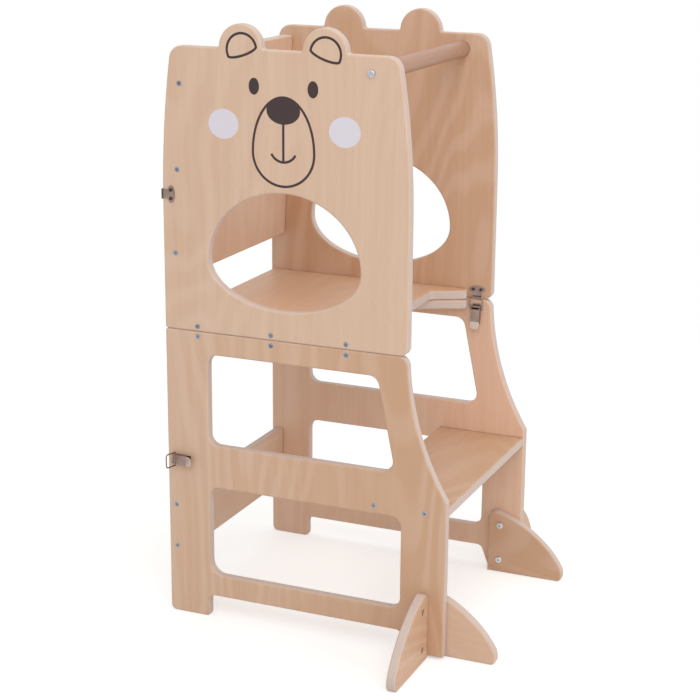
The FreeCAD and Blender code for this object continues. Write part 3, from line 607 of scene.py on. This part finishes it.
@dataclass(frozen=True)
class TurnedBeech:
    """Varnished beech rod along X with short flecks along its grain.

    It has a painted shadow line where it enters the side panels, reach to either side of its
    middle.
    """

    reach: float
    pale: Colour = paint(184, 140, 114)
    warm: Colour = paint(164, 118, 94)
    fleck: Colour = paint(140, 92, 70)
    joint: JointShadow = JointShadow(strip=(2.4 * MM, 1.2 * MM))
    streaks: Waves = Waves((3.0, 130.0, 130.0), 3.0)
    streak_share: float = 1.4
    fibres: Waves = Waves((18.0, 900.0, 900.0), 3.0, 0.6)
    fibre_share: float = 0.4
    specks: Waves = Waves((110.0, 620.0, 620.0), 1.0)
    speck_span: Span = (0.6, 0.7)
    fleck_share: float = 0.3
    fleck_depth: float = 0.4
    roughness: float = 0.44
    fibre_roughness: float = 0.14
    relief: float = 0.1 * MM
    relief_strength: float = 0.5
    coat: float = 0.15
    coat_roughness: float = 0.35

    def material(self, name: str, centre: Vector) -> bpy.types.Material:
        """Material for a rod whose middle is at centre."""
        return surfaced(name, lambda sheet: self._inputs(sheet, centre))

    def _inputs(self, sheet: NodeSheet, centre: Vector) -> dict[str, object]:
        """Draw the rod and the painted shadow lines at its joints.

        Args:
            sheet: The rod's nodes.
            centre: Middle of the rod.

        Returns:
            The shader's inputs by name.
        """
        local = sheet.vector("SUBTRACT", sheet.place(), centre)
        streaks = self.streaks.draw(sheet, local)
        fibres = self.fibres.draw(sheet, local)
        flecks = sheet.ramp(self.specks.draw(sheet, local), *self.speck_span)
        warmth = MIDDLE + streaks.swing * self.streak_share + fibres.swing * self.fibre_share
        colour = sheet.blend(warmth, self.pale, self.warm)
        colour = sheet.blend(flecks * self.fleck_share, colour, self.fleck)
        # Painted shadow where the rod enters the side panels.
        strip = self.joint.strip_at(sheet, local, self.reach)
        colour = sheet.blend(strip * self.joint.share, colour, self.joint.shade)
        height = fibres - flecks * self.fleck_depth
        return {
            "Base Color": colour,
            "Roughness": self.roughness + fibres.swing * self.fibre_roughness,
            "Normal": sheet.bump(height, self.relief, self.relief_strength),
            "Coat Weight": self.coat,
            "Coat Roughness": self.coat_roughness,
        }


@dataclass(frozen=True)
class Metal:
    """Plated steel with fine brushing, cloudy plating and small scuffs.

    Tail is the direction from a lever's tail to its pivot, and a painted highlight lightens the
    lever where its place along that is less than tail_start. Every other piece has no tail.
    """

    bright: Colour
    dull: Colour
    roughness: float
    brushing: Triple = (240.0, 900.0, 900.0)
    cloud: float = 90.0
    cloud_detail: float = 3.0
    cloud_share: float = 1.6
    cloud_roughness: float = 0.12
    brush_detail: float = 2.0
    brush_fineness: float = 0.6
    brush_roughness: float = 0.16
    brush_height: float = 0.6
    scuffs: Waves = Waves((640.0, 410.0, 520.0))
    scuff_span: Span = (0.6, 0.7)
    scuff_share: float = 0.25
    scuff_roughness: float = 0.08
    scuff_depth: float = 0.4
    relief: float = 0.02 * MM
    relief_strength: float = 0.5
    # Colour of the painted highlight on a lever's tail.
    highlight_colour: Colour = paint(226, 208, 198)
    tail: Vector | None = None
    tail_start: float = 0.0
    tail_edge: float = 0.4 * MM
    polish: float = 0.0
    highlight_wear: float = 0.2

    def material(self, name: str) -> bpy.types.Material:
        """Material of this metal."""
        return surfaced(name, self._inputs)

    def _inputs(self, sheet: NodeSheet) -> dict[str, object]:
        """Draw the metal.

        Args:
            sheet: The piece's nodes.

        Returns:
            The shader's inputs by name.
        """
        place = sheet.place()
        clouds = Waves((self.cloud,) * 3, self.cloud_detail).draw(sheet, place)
        brush = Waves(self.brushing, self.brush_detail, self.brush_fineness)
        brushed = brush.draw(sheet, place)
        scuffs = sheet.ramp(self.scuffs.draw(sheet, place), *self.scuff_span)
        dullness = MIDDLE + clouds.swing * self.cloud_share + scuffs * self.scuff_share
        colour = sheet.blend(dullness, self.bright, self.dull)
        # Painted highlight on a lever's tail, lessened where it is scuffed.
        if self.tail is not None:
            start, full = self.tail_start + self.tail_edge, self.tail_start - self.tail_edge
            highlit = sheet.ramp(sheet.dot(place, self.tail), start, full)
            polish = highlit * (self.polish - scuffs * self.highlight_wear)
            colour = sheet.blend(polish, colour, self.highlight_colour)
        roughness = self.roughness + brushed.swing * self.brush_roughness
        roughness = roughness + clouds.swing * self.cloud_roughness
        height = brushed * self.brush_height - scuffs * self.scuff_depth
        return {
            "Base Color": colour,
            "Metallic": 1.0,
            "Roughness": roughness + scuffs * self.scuff_roughness,
            "Normal": sheet.bump(height, self.relief, self.relief_strength),
        }


@dataclass(frozen=True)
class Print:
    """Screen print on the veneer, thin enough that the fibres of the wood show in it."""

    ink: Colour
    thin: Colour
    roughness: float = 0.5
    fibres: Waves = Waves((1.0, 800.0, 16.0), 3.0, 0.6)
    fibre_span: Span = (0.5, 0.8)
    fibre_share: float = 0.35
    fibre_roughness: float = 0.16
    blots: Waves = Waves((160.0, 160.0, 160.0))
    blot_span: Span = (0.45, 0.75)
    blot_share: float = 0.25
    relief: float = 0.08 * MM
    relief_strength: float = 0.5

    def material(self, name: str) -> bpy.types.Material:
        """Material of this ink."""
        return surfaced(name, self._inputs)

    def _inputs(self, sheet: NodeSheet) -> dict[str, object]:
        """Draw the ink.

        Args:
            sheet: The piece's nodes.

        Returns:
            The shader's inputs by name.
        """
        place = sheet.place()
        fibres = self.fibres.draw(sheet, place)
        blots = sheet.ramp(self.blots.draw(sheet, place), *self.blot_span)
        thinness = sheet.ramp(fibres, *self.fibre_span) * self.fibre_share
        thinness = thinness + blots * self.blot_share
        return {
            "Base Color": sheet.blend(thinness, self.ink, self.thin),
            "Roughness": self.roughness + fibres.swing * self.fibre_roughness,
            "Normal": sheet.bump(fibres, self.relief, self.relief_strength),
        }


# ---------------------------------------------------------------- carried pieces
def middle_of(node: str) -> Vector:
    """Middle of a carried piece's box."""
    low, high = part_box(node)
    return (low + high) / 2


def dress(nodes: Mapping[str, bpy.types.Object], name: str, material: bpy.types.Material) -> None:
    """Give a carried piece its finish and report it.

    Args:
        nodes: The carried pieces by name.
        name: Name of the piece.
        material: Its finish.
    """
    slots = nodes[name].data.materials
    slots.clear()
    slots.append(material)
    LOG.info("%s: %s", name, material.name)


def dress_boards(nodes: Mapping[str, bpy.types.Object], boards: Mapping[str, Plywood]) -> None:
    """Give every board a material of its own."""
    for name, finish in boards.items():
        dress(nodes, name, finish.material(name + "_ply", middle_of(name)))


@dataclass(frozen=True)
class UpperBox:
    """Box that a child stands in: two side panels with ears, a leaning back, a floor and a rail."""

    lean: float = math.radians(2.6)
    clear_width: float = 346 * MM
    horn_corner: float = 9 * MM
    left_veneer: Veneer = Veneer(4.0, 0.36)
    right_veneer: Veneer = Veneer(17.0, 0.75)
    back_veneer: Veneer = Veneer(29.0, 0.45)
    floor_veneer: Veneer = Veneer(41.0, 0.75, warm=paint(214, 168, 130))

    def dress(self, nodes: Mapping[str, bpy.types.Object]) -> None:
        """Finish the boards and the rail of the upper box.

        Args:
            nodes: The carried pieces by name.
        """
        tilt = Matrix.Rotation(self.lean, 3, "X")
        half = self.clear_width / 2
        meets = (("upper_floor_board", self.horn_corner),)
        dress_boards(nodes, {
            "upper_side_left": Plywood(ACROSS, UPRIGHT, self.left_veneer, meets=meets),
            "upper_side_right": Plywood(ACROSS, UPRIGHT, self.right_veneer, meets=meets),
            "upper_back_board": Plywood(tilt @ DEEP, tilt @ UPRIGHT, self.back_veneer, half),
            "upper_floor_board": Plywood(UPRIGHT, ACROSS, self.floor_veneer, half),
        })
        rail = TurnedBeech(half)
        dress(nodes, "top_rail", rail.material("rail_beech", middle_of("top_rail")))


@dataclass(frozen=True)
class LowerBox:
    """Box with the step, open at its sides, on two feet and two wide front legs."""

    clear_width: float = 346 * MM
    horn_corner: float = 9 * MM
    left_veneer: Veneer = Veneer(53.0, 0.78, 1.8)
    # The far lower panel's paler colours are partly its own tone and partly painted light, standing
    # in for bounce light on its shaded inner face.
    right_veneer: Veneer = Veneer(
        61.0, 0.3, pale=paint(238, 202, 177), warm=paint(216, 170, 137)
    )
    top_veneer: Veneer = Veneer(73.0)
    rail_veneer: Veneer = Veneer(83.0)
    # The step's darker veneer is partly its own tone and partly painted shade, toning down the
    # light on its upward face.
    step_veneer: Veneer = Veneer(97.0, 1.05)

    def dress(self, nodes: Mapping[str, bpy.types.Object]) -> None:
        """Finish the boards of the lower box.

        Args:
            nodes: The carried pieces by name.
        """
        half = self.clear_width / 2
        meets = (
            ("lower_top_board", self.horn_corner), ("step_board", 0.0), ("lower_back_rail", 0.0),
        )
        dress_boards(nodes, {
            "lower_side_left": Plywood(ACROSS, UPRIGHT, self.left_veneer, meets=meets),
            "lower_side_right": Plywood(ACROSS, UPRIGHT, self.right_veneer, meets=meets),
            "lower_top_board": Plywood(UPRIGHT, ACROSS, self.top_veneer, half),
            "lower_back_rail": Plywood(DEEP, ACROSS, self.rail_veneer, half),
            "step_board": Plywood(UPRIGHT, ACROSS, self.step_veneer, half),
        })


@dataclass(frozen=True)
class Fins:
    """Four fins that widen the stand: two reach forwards and two reach sideways."""

    grain_lean: float = math.radians(4.0)
    forward_veneers: tuple[Veneer, Veneer] = (Veneer(107.0, 0.45), Veneer(126.0, 1.1))
    outward_veneers: tuple[Veneer, Veneer] = (Veneer(114.0, 0.9), Veneer(133.0, 0.9))

    def dress(self, nodes: Mapping[str, bpy.types.Object]) -> None:
        """Finish the fins, each with its own piece of veneer.

        Args:
            nodes: The carried pieces by name.
        """
        forward_grain = Matrix.Rotation(self.grain_lean, 3, "X") @ DEEP
        outward_grain = Matrix.Rotation(self.grain_lean, 3, "Y") @ ACROSS
        for side, forward, outward in zip(SIDES, self.forward_veneers, self.outward_veneers):
            dress_boards(nodes, {
                f"forward_fin_{side}": Plywood(ACROSS, forward_grain, forward),
                f"outward_fin_{side}": Plywood(DEEP, outward_grain, outward),
            })


@dataclass(frozen=True)
class Hardware:
    """Screws, bolts, barrel nuts, hinges and latches."""

    zinc: Metal = Metal(paint(178, 183, 192), paint(112, 117, 128), 0.3)
    bolt_steel: Metal = Metal(paint(226, 227, 230), paint(168, 171, 178), 0.26)
    hinge_steel: Metal = Metal(
        paint(204, 202, 198), paint(166, 163, 158), 0.3, (60.0, 900.0, 1400.0)
    )
    # The nickel's own tint, made darker as a painted reflection of dim surroundings that the white
    # room doesn't give.
    nickel: Metal = Metal(
        paint(176, 155, 146), paint(120, 100, 93), 0.24, (900.0, 900.0, 120.0), cloud=40.0
    )
    dark_steel: Metal = Metal(paint(104, 90, 86), paint(64, 54, 52), 0.34)
    tail_length: float = 11.4 * MM
    # Strength of the painted highlight on the tail of each kind of lever.
    tower_highlight: float = 0.9
    table_highlight: float = 0.35
    screws: tuple[str, ...] = (
        "back_board_screws", "back_rail_screws", "floor_board_screws", "hinge_lower_screws",
        "hinge_upper_screws", "step_board_screws", "top_board_screws",
    )
    latch_screws: tuple[str, ...] = (
        "latch_base_screws", "table_keeper_screws", "tower_keeper_screws",
    )
    bolts: tuple[str, ...] = ("barrel_nuts", "fin_bolts", "top_rail_bolts")
    hinge_pieces: tuple[str, ...] = ("hinge_lower_leaf", "hinge_pin", "hinge_upper_leaf")
    latch_pieces: tuple[str, ...] = ("bail", "base", "keeper", "pin")

    def dress(self, nodes: Mapping[str, bpy.types.Object]) -> None:
        """Finish every metal piece.

        Args:
            nodes: The carried pieces by name.
        """
        zinc = self.zinc.material("zinc_plate")
        steel = self.hinge_steel.material("hinge_plate")
        nickel = self.nickel.material("nickel_plate")
        bright = self.bolt_steel.material("bolt_plate")
        for name in self.screws:
            dress(nodes, name, zinc)
        for name in self.latch_screws:
            dress(nodes, name, self.dark_steel.material(name + "_plate"))
        for name in self.bolts:
            dress(nodes, name, bright)
        for side in SIDES:
            for piece in self.hinge_pieces:
                dress(nodes, f"{piece}_{side}", steel)
            for latch in Latch:
                for piece in self.latch_pieces:
                    dress(nodes, f"{latch.value}_{side}_{piece}", nickel)
                lever = f"{latch.value}_{side}_lever"
                dress(nodes, lever, self._highlit_lever(latch, lever).material(lever + "_plate"))

    def _highlit_lever(self, latch: Latch, lever: str) -> Metal:
        """Nickel with a painted highlight at the tail of a lever.

        Args:
            latch: Kind of latch, which sets the way that the lever lies.
            lever: Name of the lever.

        Returns:
            The lever's own finish.
        """
        if latch is Latch.TOWER:
            tail, polish = UPRIGHT, self.tower_highlight
        else:
            tail, polish = DEEP, self.table_highlight
        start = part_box(lever)[0].dot(tail) + self.tail_length
        return replace(self.nickel, tail=tail, tail_start=start, polish=polish)


# ---------------------------------------------------------------- the printed face
@dataclass(frozen=True)
class BearFace:
    """A plain bear's face, printed on the outer face of the left panel.

    Places are to the right of and above the face's middle, as seen from in front of the panel.
    The middle lies a depth from the panel's back edge and a drop below its ears. Ovals have a
    half width and a half height.
    """

    body: str = "upper_box"
    panel: str = "upper_side_left"
    depth: float = 193.5 * MM
    drop: float = 115 * MM
    film: float = 0.14 * MM
    nose_film: float = 0.17 * MM
    sink: float = 0.05 * MM
    line: float = 3.5 * MM
    eye: Span = (8 * MM, 11.7 * MM)
    eye_place: Span = (45 * MM, 30.5 * MM)
    nose: Span = (25.7 * MM, 19 * MM)
    nose_drop: float = 1.2 * MM
    muzzle_half: float = 48.9 * MM
    muzzle_rise: float = 79 * MM
    muzzle_fall: float = 49 * MM
    muzzle_drop: float = 60 * MM
    mouth_radius: float = 21 * MM
    mouth_angle: float = math.radians(62)
    mouth_drop: float = 73 * MM
    mouth_end: float = 0.45
    mouth_end_segments: int = 5
    cheek: Span = (23.6 * MM, 21.2 * MM)
    cheek_place: Span = (93 * MM, -25 * MM)
    ear_radius: float = 24.6 * MM
    ear_chord: float = 3.7 * MM
    ear_sag: float = 0.28
    ear_tilt: float = math.radians(19)
    ear_place: Span = (63.7 * MM, 79.5 * MM)
    segments: int = 96
    ink: Print = Print(paint(56, 38, 38), paint(76, 56, 53))
    blush: Print = Print(paint(226, 221, 231), paint(228, 212, 214), 0.55)

    def build(self) -> None:
        """Make the pieces of the print and let them ride on the upper box."""
        ink = self.ink.material("dark_print")
        blush = self.blush.material("cheek_print")
        nose = self._spot(self.nose, (0.0, -self.nose_drop))
        self._piece("face_eyes", self._pair(self.eye, self.eye_place), self.film, ink)
        self._piece("face_nose", [nose], self.nose_film, ink)
        self._piece("face_muzzle", [self._muzzle()], self.film, ink)
        self._piece("face_mouth", [self._mouth(), self._bridge()], self.film, ink)
        self._piece("face_cheeks", self._pair(self.cheek, self.cheek_place), self.film, blush)
        self._piece("face_ears", [self._ear(side) for side in (-1, 1)], self.film, ink)

    def _pair(self, halves: Span, place: Span) -> list[bmesh.types.BMesh]:
        """Filled ellipse to the right of the middle and its mirror image."""
        right, up = place
        return [self._spot(halves, (side * right, up)) for side in (-1, 1)]

    def _spot(self, halves: Span, place: Span) -> bmesh.types.BMesh:
        """Make a filled ellipse.

        Args:
            halves: Half width and half height.
            place: Place of its middle.

        Returns:
            The flat shape.
        """
        shape = bmesh.new()
        bmesh.ops.create_circle(shape, cap_ends=True, radius=1.0, segments=self.segments)
        bmesh.ops.scale(shape, vec=(*halves, 1.0), verts=shape.verts)
        bmesh.ops.translate(shape, vec=(*place, 0.0), verts=shape.verts)
        return shape

    def _outlined(self, shape: bmesh.types.BMesh) -> bmesh.types.BMesh:
        """Keep only the rim of a shape.

        Args:
            shape: Filled flat shape, which is changed.

        Returns:
            The same shape as a rim, one line wide.
        """
        filled = shape.faces[:]
        bmesh.ops.inset_region(
            shape, faces=filled, thickness=self.line, use_even_offset=True, use_boundary=True
        )
        bmesh.ops.delete(shape, geom=filled, context="FACES")
        return shape

    def _muzzle(self) -> bmesh.types.BMesh:
        """Make the line round the mouth, an egg whose top lies under the nose.

        Returns:
            The flat shape.
        """
        shape = self._spot((1.0, 1.0), (0.0, 0.0))
        upper = [v for v in shape.verts if v.co.y > 0]
        lower = [v for v in shape.verts if v.co.y <= 0]
        bmesh.ops.scale(shape, vec=(self.muzzle_half, self.muzzle_rise, 1.0), verts=upper)
        bmesh.ops.scale(shape, vec=(self.muzzle_half, self.muzzle_fall, 1.0), verts=lower)
        self._outlined(shape)
        bmesh.ops.translate(shape, vec=(0.0, -self.muzzle_drop, 0.0), verts=shape.verts)
        return shape

    def _ear(self, side: int) -> bmesh.types.BMesh:
        """Make the line inside one ear: a round arc over a flatter one, tilted outwards.

        Args:
            side: -1 for the ear on the left and 1 for that on the right.

        Returns:
            The flat shape.
        """
        shape = self._spot((self.ear_radius, self.ear_radius), (0.0, 0.0))
        below = [v for v in shape.verts if v.co.y < -self.ear_chord]
        chord = Matrix.Translation((0.0, self.ear_chord, 0.0))
        bmesh.ops.scale(shape, vec=(1.0, self.ear_sag, 1.0), space=chord, verts=below)
        self._outlined(shape)
        turn = Matrix.Rotation(-side * self.ear_tilt, 3, "Z")
        bmesh.ops.rotate(shape, matrix=turn, verts=shape.verts)
        right, up = self.ear_place
        bmesh.ops.translate(shape, vec=(side * right, up, 0.0), verts=shape.verts)
        return shape

    def _mouth(self) -> bmesh.types.BMesh:
        """Make the arc of a smile with round ends.

        Returns:
            The flat shape.
        """
        radius = self.mouth_radius + self.line / 2
        shape = self._outlined(self._spot((radius, radius), (0.0, 0.0)))
        for side in (-1, 1):
            cut = Vector((side * math.cos(self.mouth_angle), math.sin(self.mouth_angle), 0.0))
            bmesh.ops.bisect_plane(
                shape,
                geom=shape.verts[:] + shape.edges[:] + shape.faces[:],
                plane_co=(0.0, 0.0, 0.0),
                plane_no=cut,
                clear_outer=True,
            )
        self._round_ends(shape)
        lift = self.mouth_radius - self.mouth_drop
        bmesh.ops.translate(shape, vec=(0.0, lift, 0.0), verts=shape.verts)
        return shape

    def _bridge(self) -> bmesh.types.BMesh:
        """Make the upright line between the nose and the mouth.

        Returns:
            The flat shape.
        """
        top = -self.nose[1]
        bottom = self.line / 2 - self.mouth_drop
        shape = bmesh.new()
        bmesh.ops.create_grid(shape, x_segments=1, y_segments=1, size=0.5)
        bmesh.ops.scale(shape, vec=(self.line, top - bottom, 1.0), verts=shape.verts)
        bmesh.ops.translate(shape, vec=(0.0, (top + bottom) / 2, 0.0), verts=shape.verts)
        return shape

    def _round_ends(self, shape: bmesh.types.BMesh) -> None:
        """Round the ends of a strip.

        Args:
            shape: Flat strip, which is changed.
        """
        ends = [v for v in shape.verts if len(v.link_edges) == 2]
        bmesh.ops.bevel(
            shape,
            geom=ends,
            offset=self.line * self.mouth_end,
            segments=self.mouth_end_segments,
            profile=0.5,
            affect="VERTICES",
            material=-1,
        )

    def _piece(
        self,
        name: str,
        shapes: Sequence[bmesh.types.BMesh],
        film: float,
        material: bpy.types.Material,
    ) -> None:
        """Make one printed piece from flat shapes.

        Args:
            name: Name of the piece.
            shapes: Flat shapes as seen from in front of the panel.
            film: How far the ink stands out of the wood.
            material: Finish of the ink.
        """
        mesh = bpy.data.meshes.new(name)
        whole = bmesh.new()
        for shape in shapes:
            shape.to_mesh(mesh)
            shape.free()
            whole.from_mesh(mesh)
        bmesh.ops.translate(whole, vec=(0.0, 0.0, -self.sink), verts=whole.verts)
        raised = bmesh.ops.extrude_face_region(whole, geom=whole.faces[:])["geom"]
        top = [item for item in raised if isinstance(item, bmesh.types.BMVert)]
        bmesh.ops.translate(whole, vec=(0.0, 0.0, self.sink + film), verts=top)
        bmesh.ops.recalc_face_normals(whole, faces=whole.faces)
        facing = Matrix((-DEEP, UPRIGHT, -ACROSS)).transposed().to_4x4()
        low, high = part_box(self.panel)
        middle = Vector((low.x, high.y - self.depth, high.z - self.drop))
        bmesh.ops.transform(whole, matrix=Matrix.Translation(middle) @ facing, verts=whole.verts)
        whole.to_mesh(mesh)
        whole.free()
        mesh.materials.append(material)
        piece = placed(name, mesh)
        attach(piece, self.body)
        LOG.info("%s: %s", name, material.name)


# ---------------------------------------------------------------- studio
@dataclass(frozen=True)
class SoftLamp:
    """A large square lamp that looks at the middle of the stool."""

    name: str
    place: Triple
    size: float
    power: float

    def build(self, target: Vector) -> None:
        """Hang the lamp.

        Args:
            target: Place that the lamp is turned to.
        """
        light = bpy.data.lights.new(self.name, "AREA")
        light.size = self.size
        light.energy = self.power
        lamp = placed(self.name, light)
        lamp.location = self.place
        lamp.rotation_euler = (target - lamp.location).to_track_quat("-Z", "Y").to_euler()


@dataclass(frozen=True)
class Studio:
    """White room: floor, soft lamps, world and camera."""

    white: Colour = (1.0, 1.0, 1.0, 1.0)
    floor_radius: float = 8.0
    floor_segments: int = 96
    shadow_reach: float = 0.75
    fade_reach: float = 1.9
    floor_colour: Colour = (0.74, 0.74, 0.74, 1.0)
    floor_glow: float = 0.46
    world_colour: Colour = (1.0, 0.99, 0.97, 1.0)
    world_level: float = 0.64
    target: Triple = (0.0, 0.0, 0.45)
    lamps: tuple[SoftLamp, ...] = (
        SoftLamp("key_lamp", (-2.6, -1.2, 2.7), 2.2, 37.0),
        SoftLamp("fill_lamp", (-0.4, -3.0, 0.9), 2.4, 18.0),
        SoftLamp("top_lamp", (0.4, -0.4, 3.4), 2.6, 16.0),
    )
    eye: Triple = (-2.3569, -0.9645, 1.1156)
    yaw: float = math.radians(66.885)
    pitch: float = math.radians(-15.745)
    roll: float = math.radians(0.457)
    lens: float = 89.27
    sensor: float = 36.0
    nearest: float = 0.05
    furthest: float = 60.0

    def build(self) -> None:
        """Set up everything round the stool."""
        self._world()
        self._floor()
        for lamp in self.lamps:
            lamp.build(Vector(self.target))
        self._camera()
        bpy.context.scene.view_settings.view_transform = "Standard"

    def _seen(self, sheet: NodeSheet) -> Signal:
        """Tell the rays that show the room: straight, mirrored or through glass.

        Args:
            sheet: The nodes of the world or the floor.

        Returns:
            1 for such a ray and 0 for any other.
        """
        path = sheet.node("ShaderNodeLightPath")
        outputs = ("Is Camera Ray", "Is Glossy Ray", "Is Transmission Ray")
        camera, glossy, through = (Signal(sheet, path.outputs[name]) for name in outputs)
        return sheet.math("MAXIMUM", sheet.math("MAXIMUM", camera, glossy), through)

    def _world(self) -> None:
        """Even soft light, and plain white where the room itself is seen."""
        world = bpy.data.worlds.new("studio")
        world.use_nodes = True
        bpy.context.scene.world = world
        sheet = NodeSheet(world.node_tree)
        glow = {"Color": self.world_colour, "Strength": self.world_level}
        light = sheet.signal("ShaderNodeBackground", inputs=glow)
        plain = {"Color": self.white, "Strength": 1.0}
        white = sheet.signal("ShaderNodeBackground", inputs=plain)
        shares = {0: self._seen(sheet), 1: light, 2: white}
        mixed = sheet.signal("ShaderNodeMixShader", inputs=shares)
        sheet.node("ShaderNodeOutputWorld", inputs={"Surface": mixed})

    def _floor(self) -> None:
        """Pale round floor that keeps the stool's shadow and fades to white further out."""
        shape = bmesh.new()
        bmesh.ops.create_circle(
            shape, cap_ends=True, radius=self.floor_radius, segments=self.floor_segments
        )
        mesh = bpy.data.meshes.new("floor")
        shape.to_mesh(mesh)
        shape.free()
        mesh.materials.append(self._floor_material())
        floor = placed("floor", mesh)

    def _floor_material(self) -> bpy.types.Material:
        """Make the finish of the floor.

        Returns:
            The new material.
        """
        material = bpy.data.materials.new("pale_floor")
        material.use_nodes = True
        sheet = NodeSheet(material.node_tree)
        distance = sheet.vector("LENGTH", sheet.place(), output="Value")
        far = sheet.ramp(distance, self.shadow_reach, self.fade_reach)
        matt = sheet.signal("ShaderNodeBsdfDiffuse", inputs={"Color": self.floor_colour})
        glow = sheet.signal("ShaderNodeEmission", inputs={"Strength": self.floor_glow})
        white = sheet.signal("ShaderNodeEmission", inputs={"Strength": 1.0})
        near = sheet.signal("ShaderNodeAddShader", inputs={0: matt, 1: glow})
        shown = sheet.signal("ShaderNodeMixShader", inputs={0: far, 1: near, 2: white})
        shares = {0: self._seen(sheet), 1: matt, 2: shown}
        whole = sheet.signal("ShaderNodeMixShader", inputs=shares)
        sheet.node("ShaderNodeOutputMaterial", inputs={"Surface": whole})
        return material

    def _camera(self) -> None:
        """Camera at the viewing angle of the photograph."""
        ahead = Vector((
            math.sin(self.yaw) * math.cos(self.pitch),
            math.cos(self.yaw) * math.cos(self.pitch),
            math.sin(self.pitch),
        ))
        level = Vector((math.cos(self.yaw), -math.sin(self.yaw), 0.0))
        rise = level.cross(ahead)
        right = level * math.cos(self.roll) + rise * math.sin(self.roll)
        up = rise * math.cos(self.roll) - level * math.sin(self.roll)
        data = bpy.data.cameras.new("camera")
        data.lens = self.lens
        data.sensor_width = self.sensor
        data.clip_start = self.nearest
        data.clip_end = self.furthest
        camera = placed("camera", data)
        turned = Matrix((right, up, -ahead)).transposed().to_4x4()
        camera.matrix_world = Matrix.Translation(self.eye) @ turned
        bpy.context.scene.camera = camera


def clear_scene() -> None:
    """Remove every object that is there at the start."""
    for item in list(bpy.data.objects):
        bpy.data.objects.remove(item)


def main() -> None:
    """Dress the stool, print its face and light it."""
    logging.basicConfig(level=logging.INFO, format="%(name)s %(message)s")
    clear_scene()
    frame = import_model()
    nodes = frame["nodes"]
    for assembly in (UpperBox(), LowerBox(), Fins(), Hardware()):
        assembly.dress(nodes)
    BearFace().build()
    Studio().build()


if __name__ == "__main__":
    main()
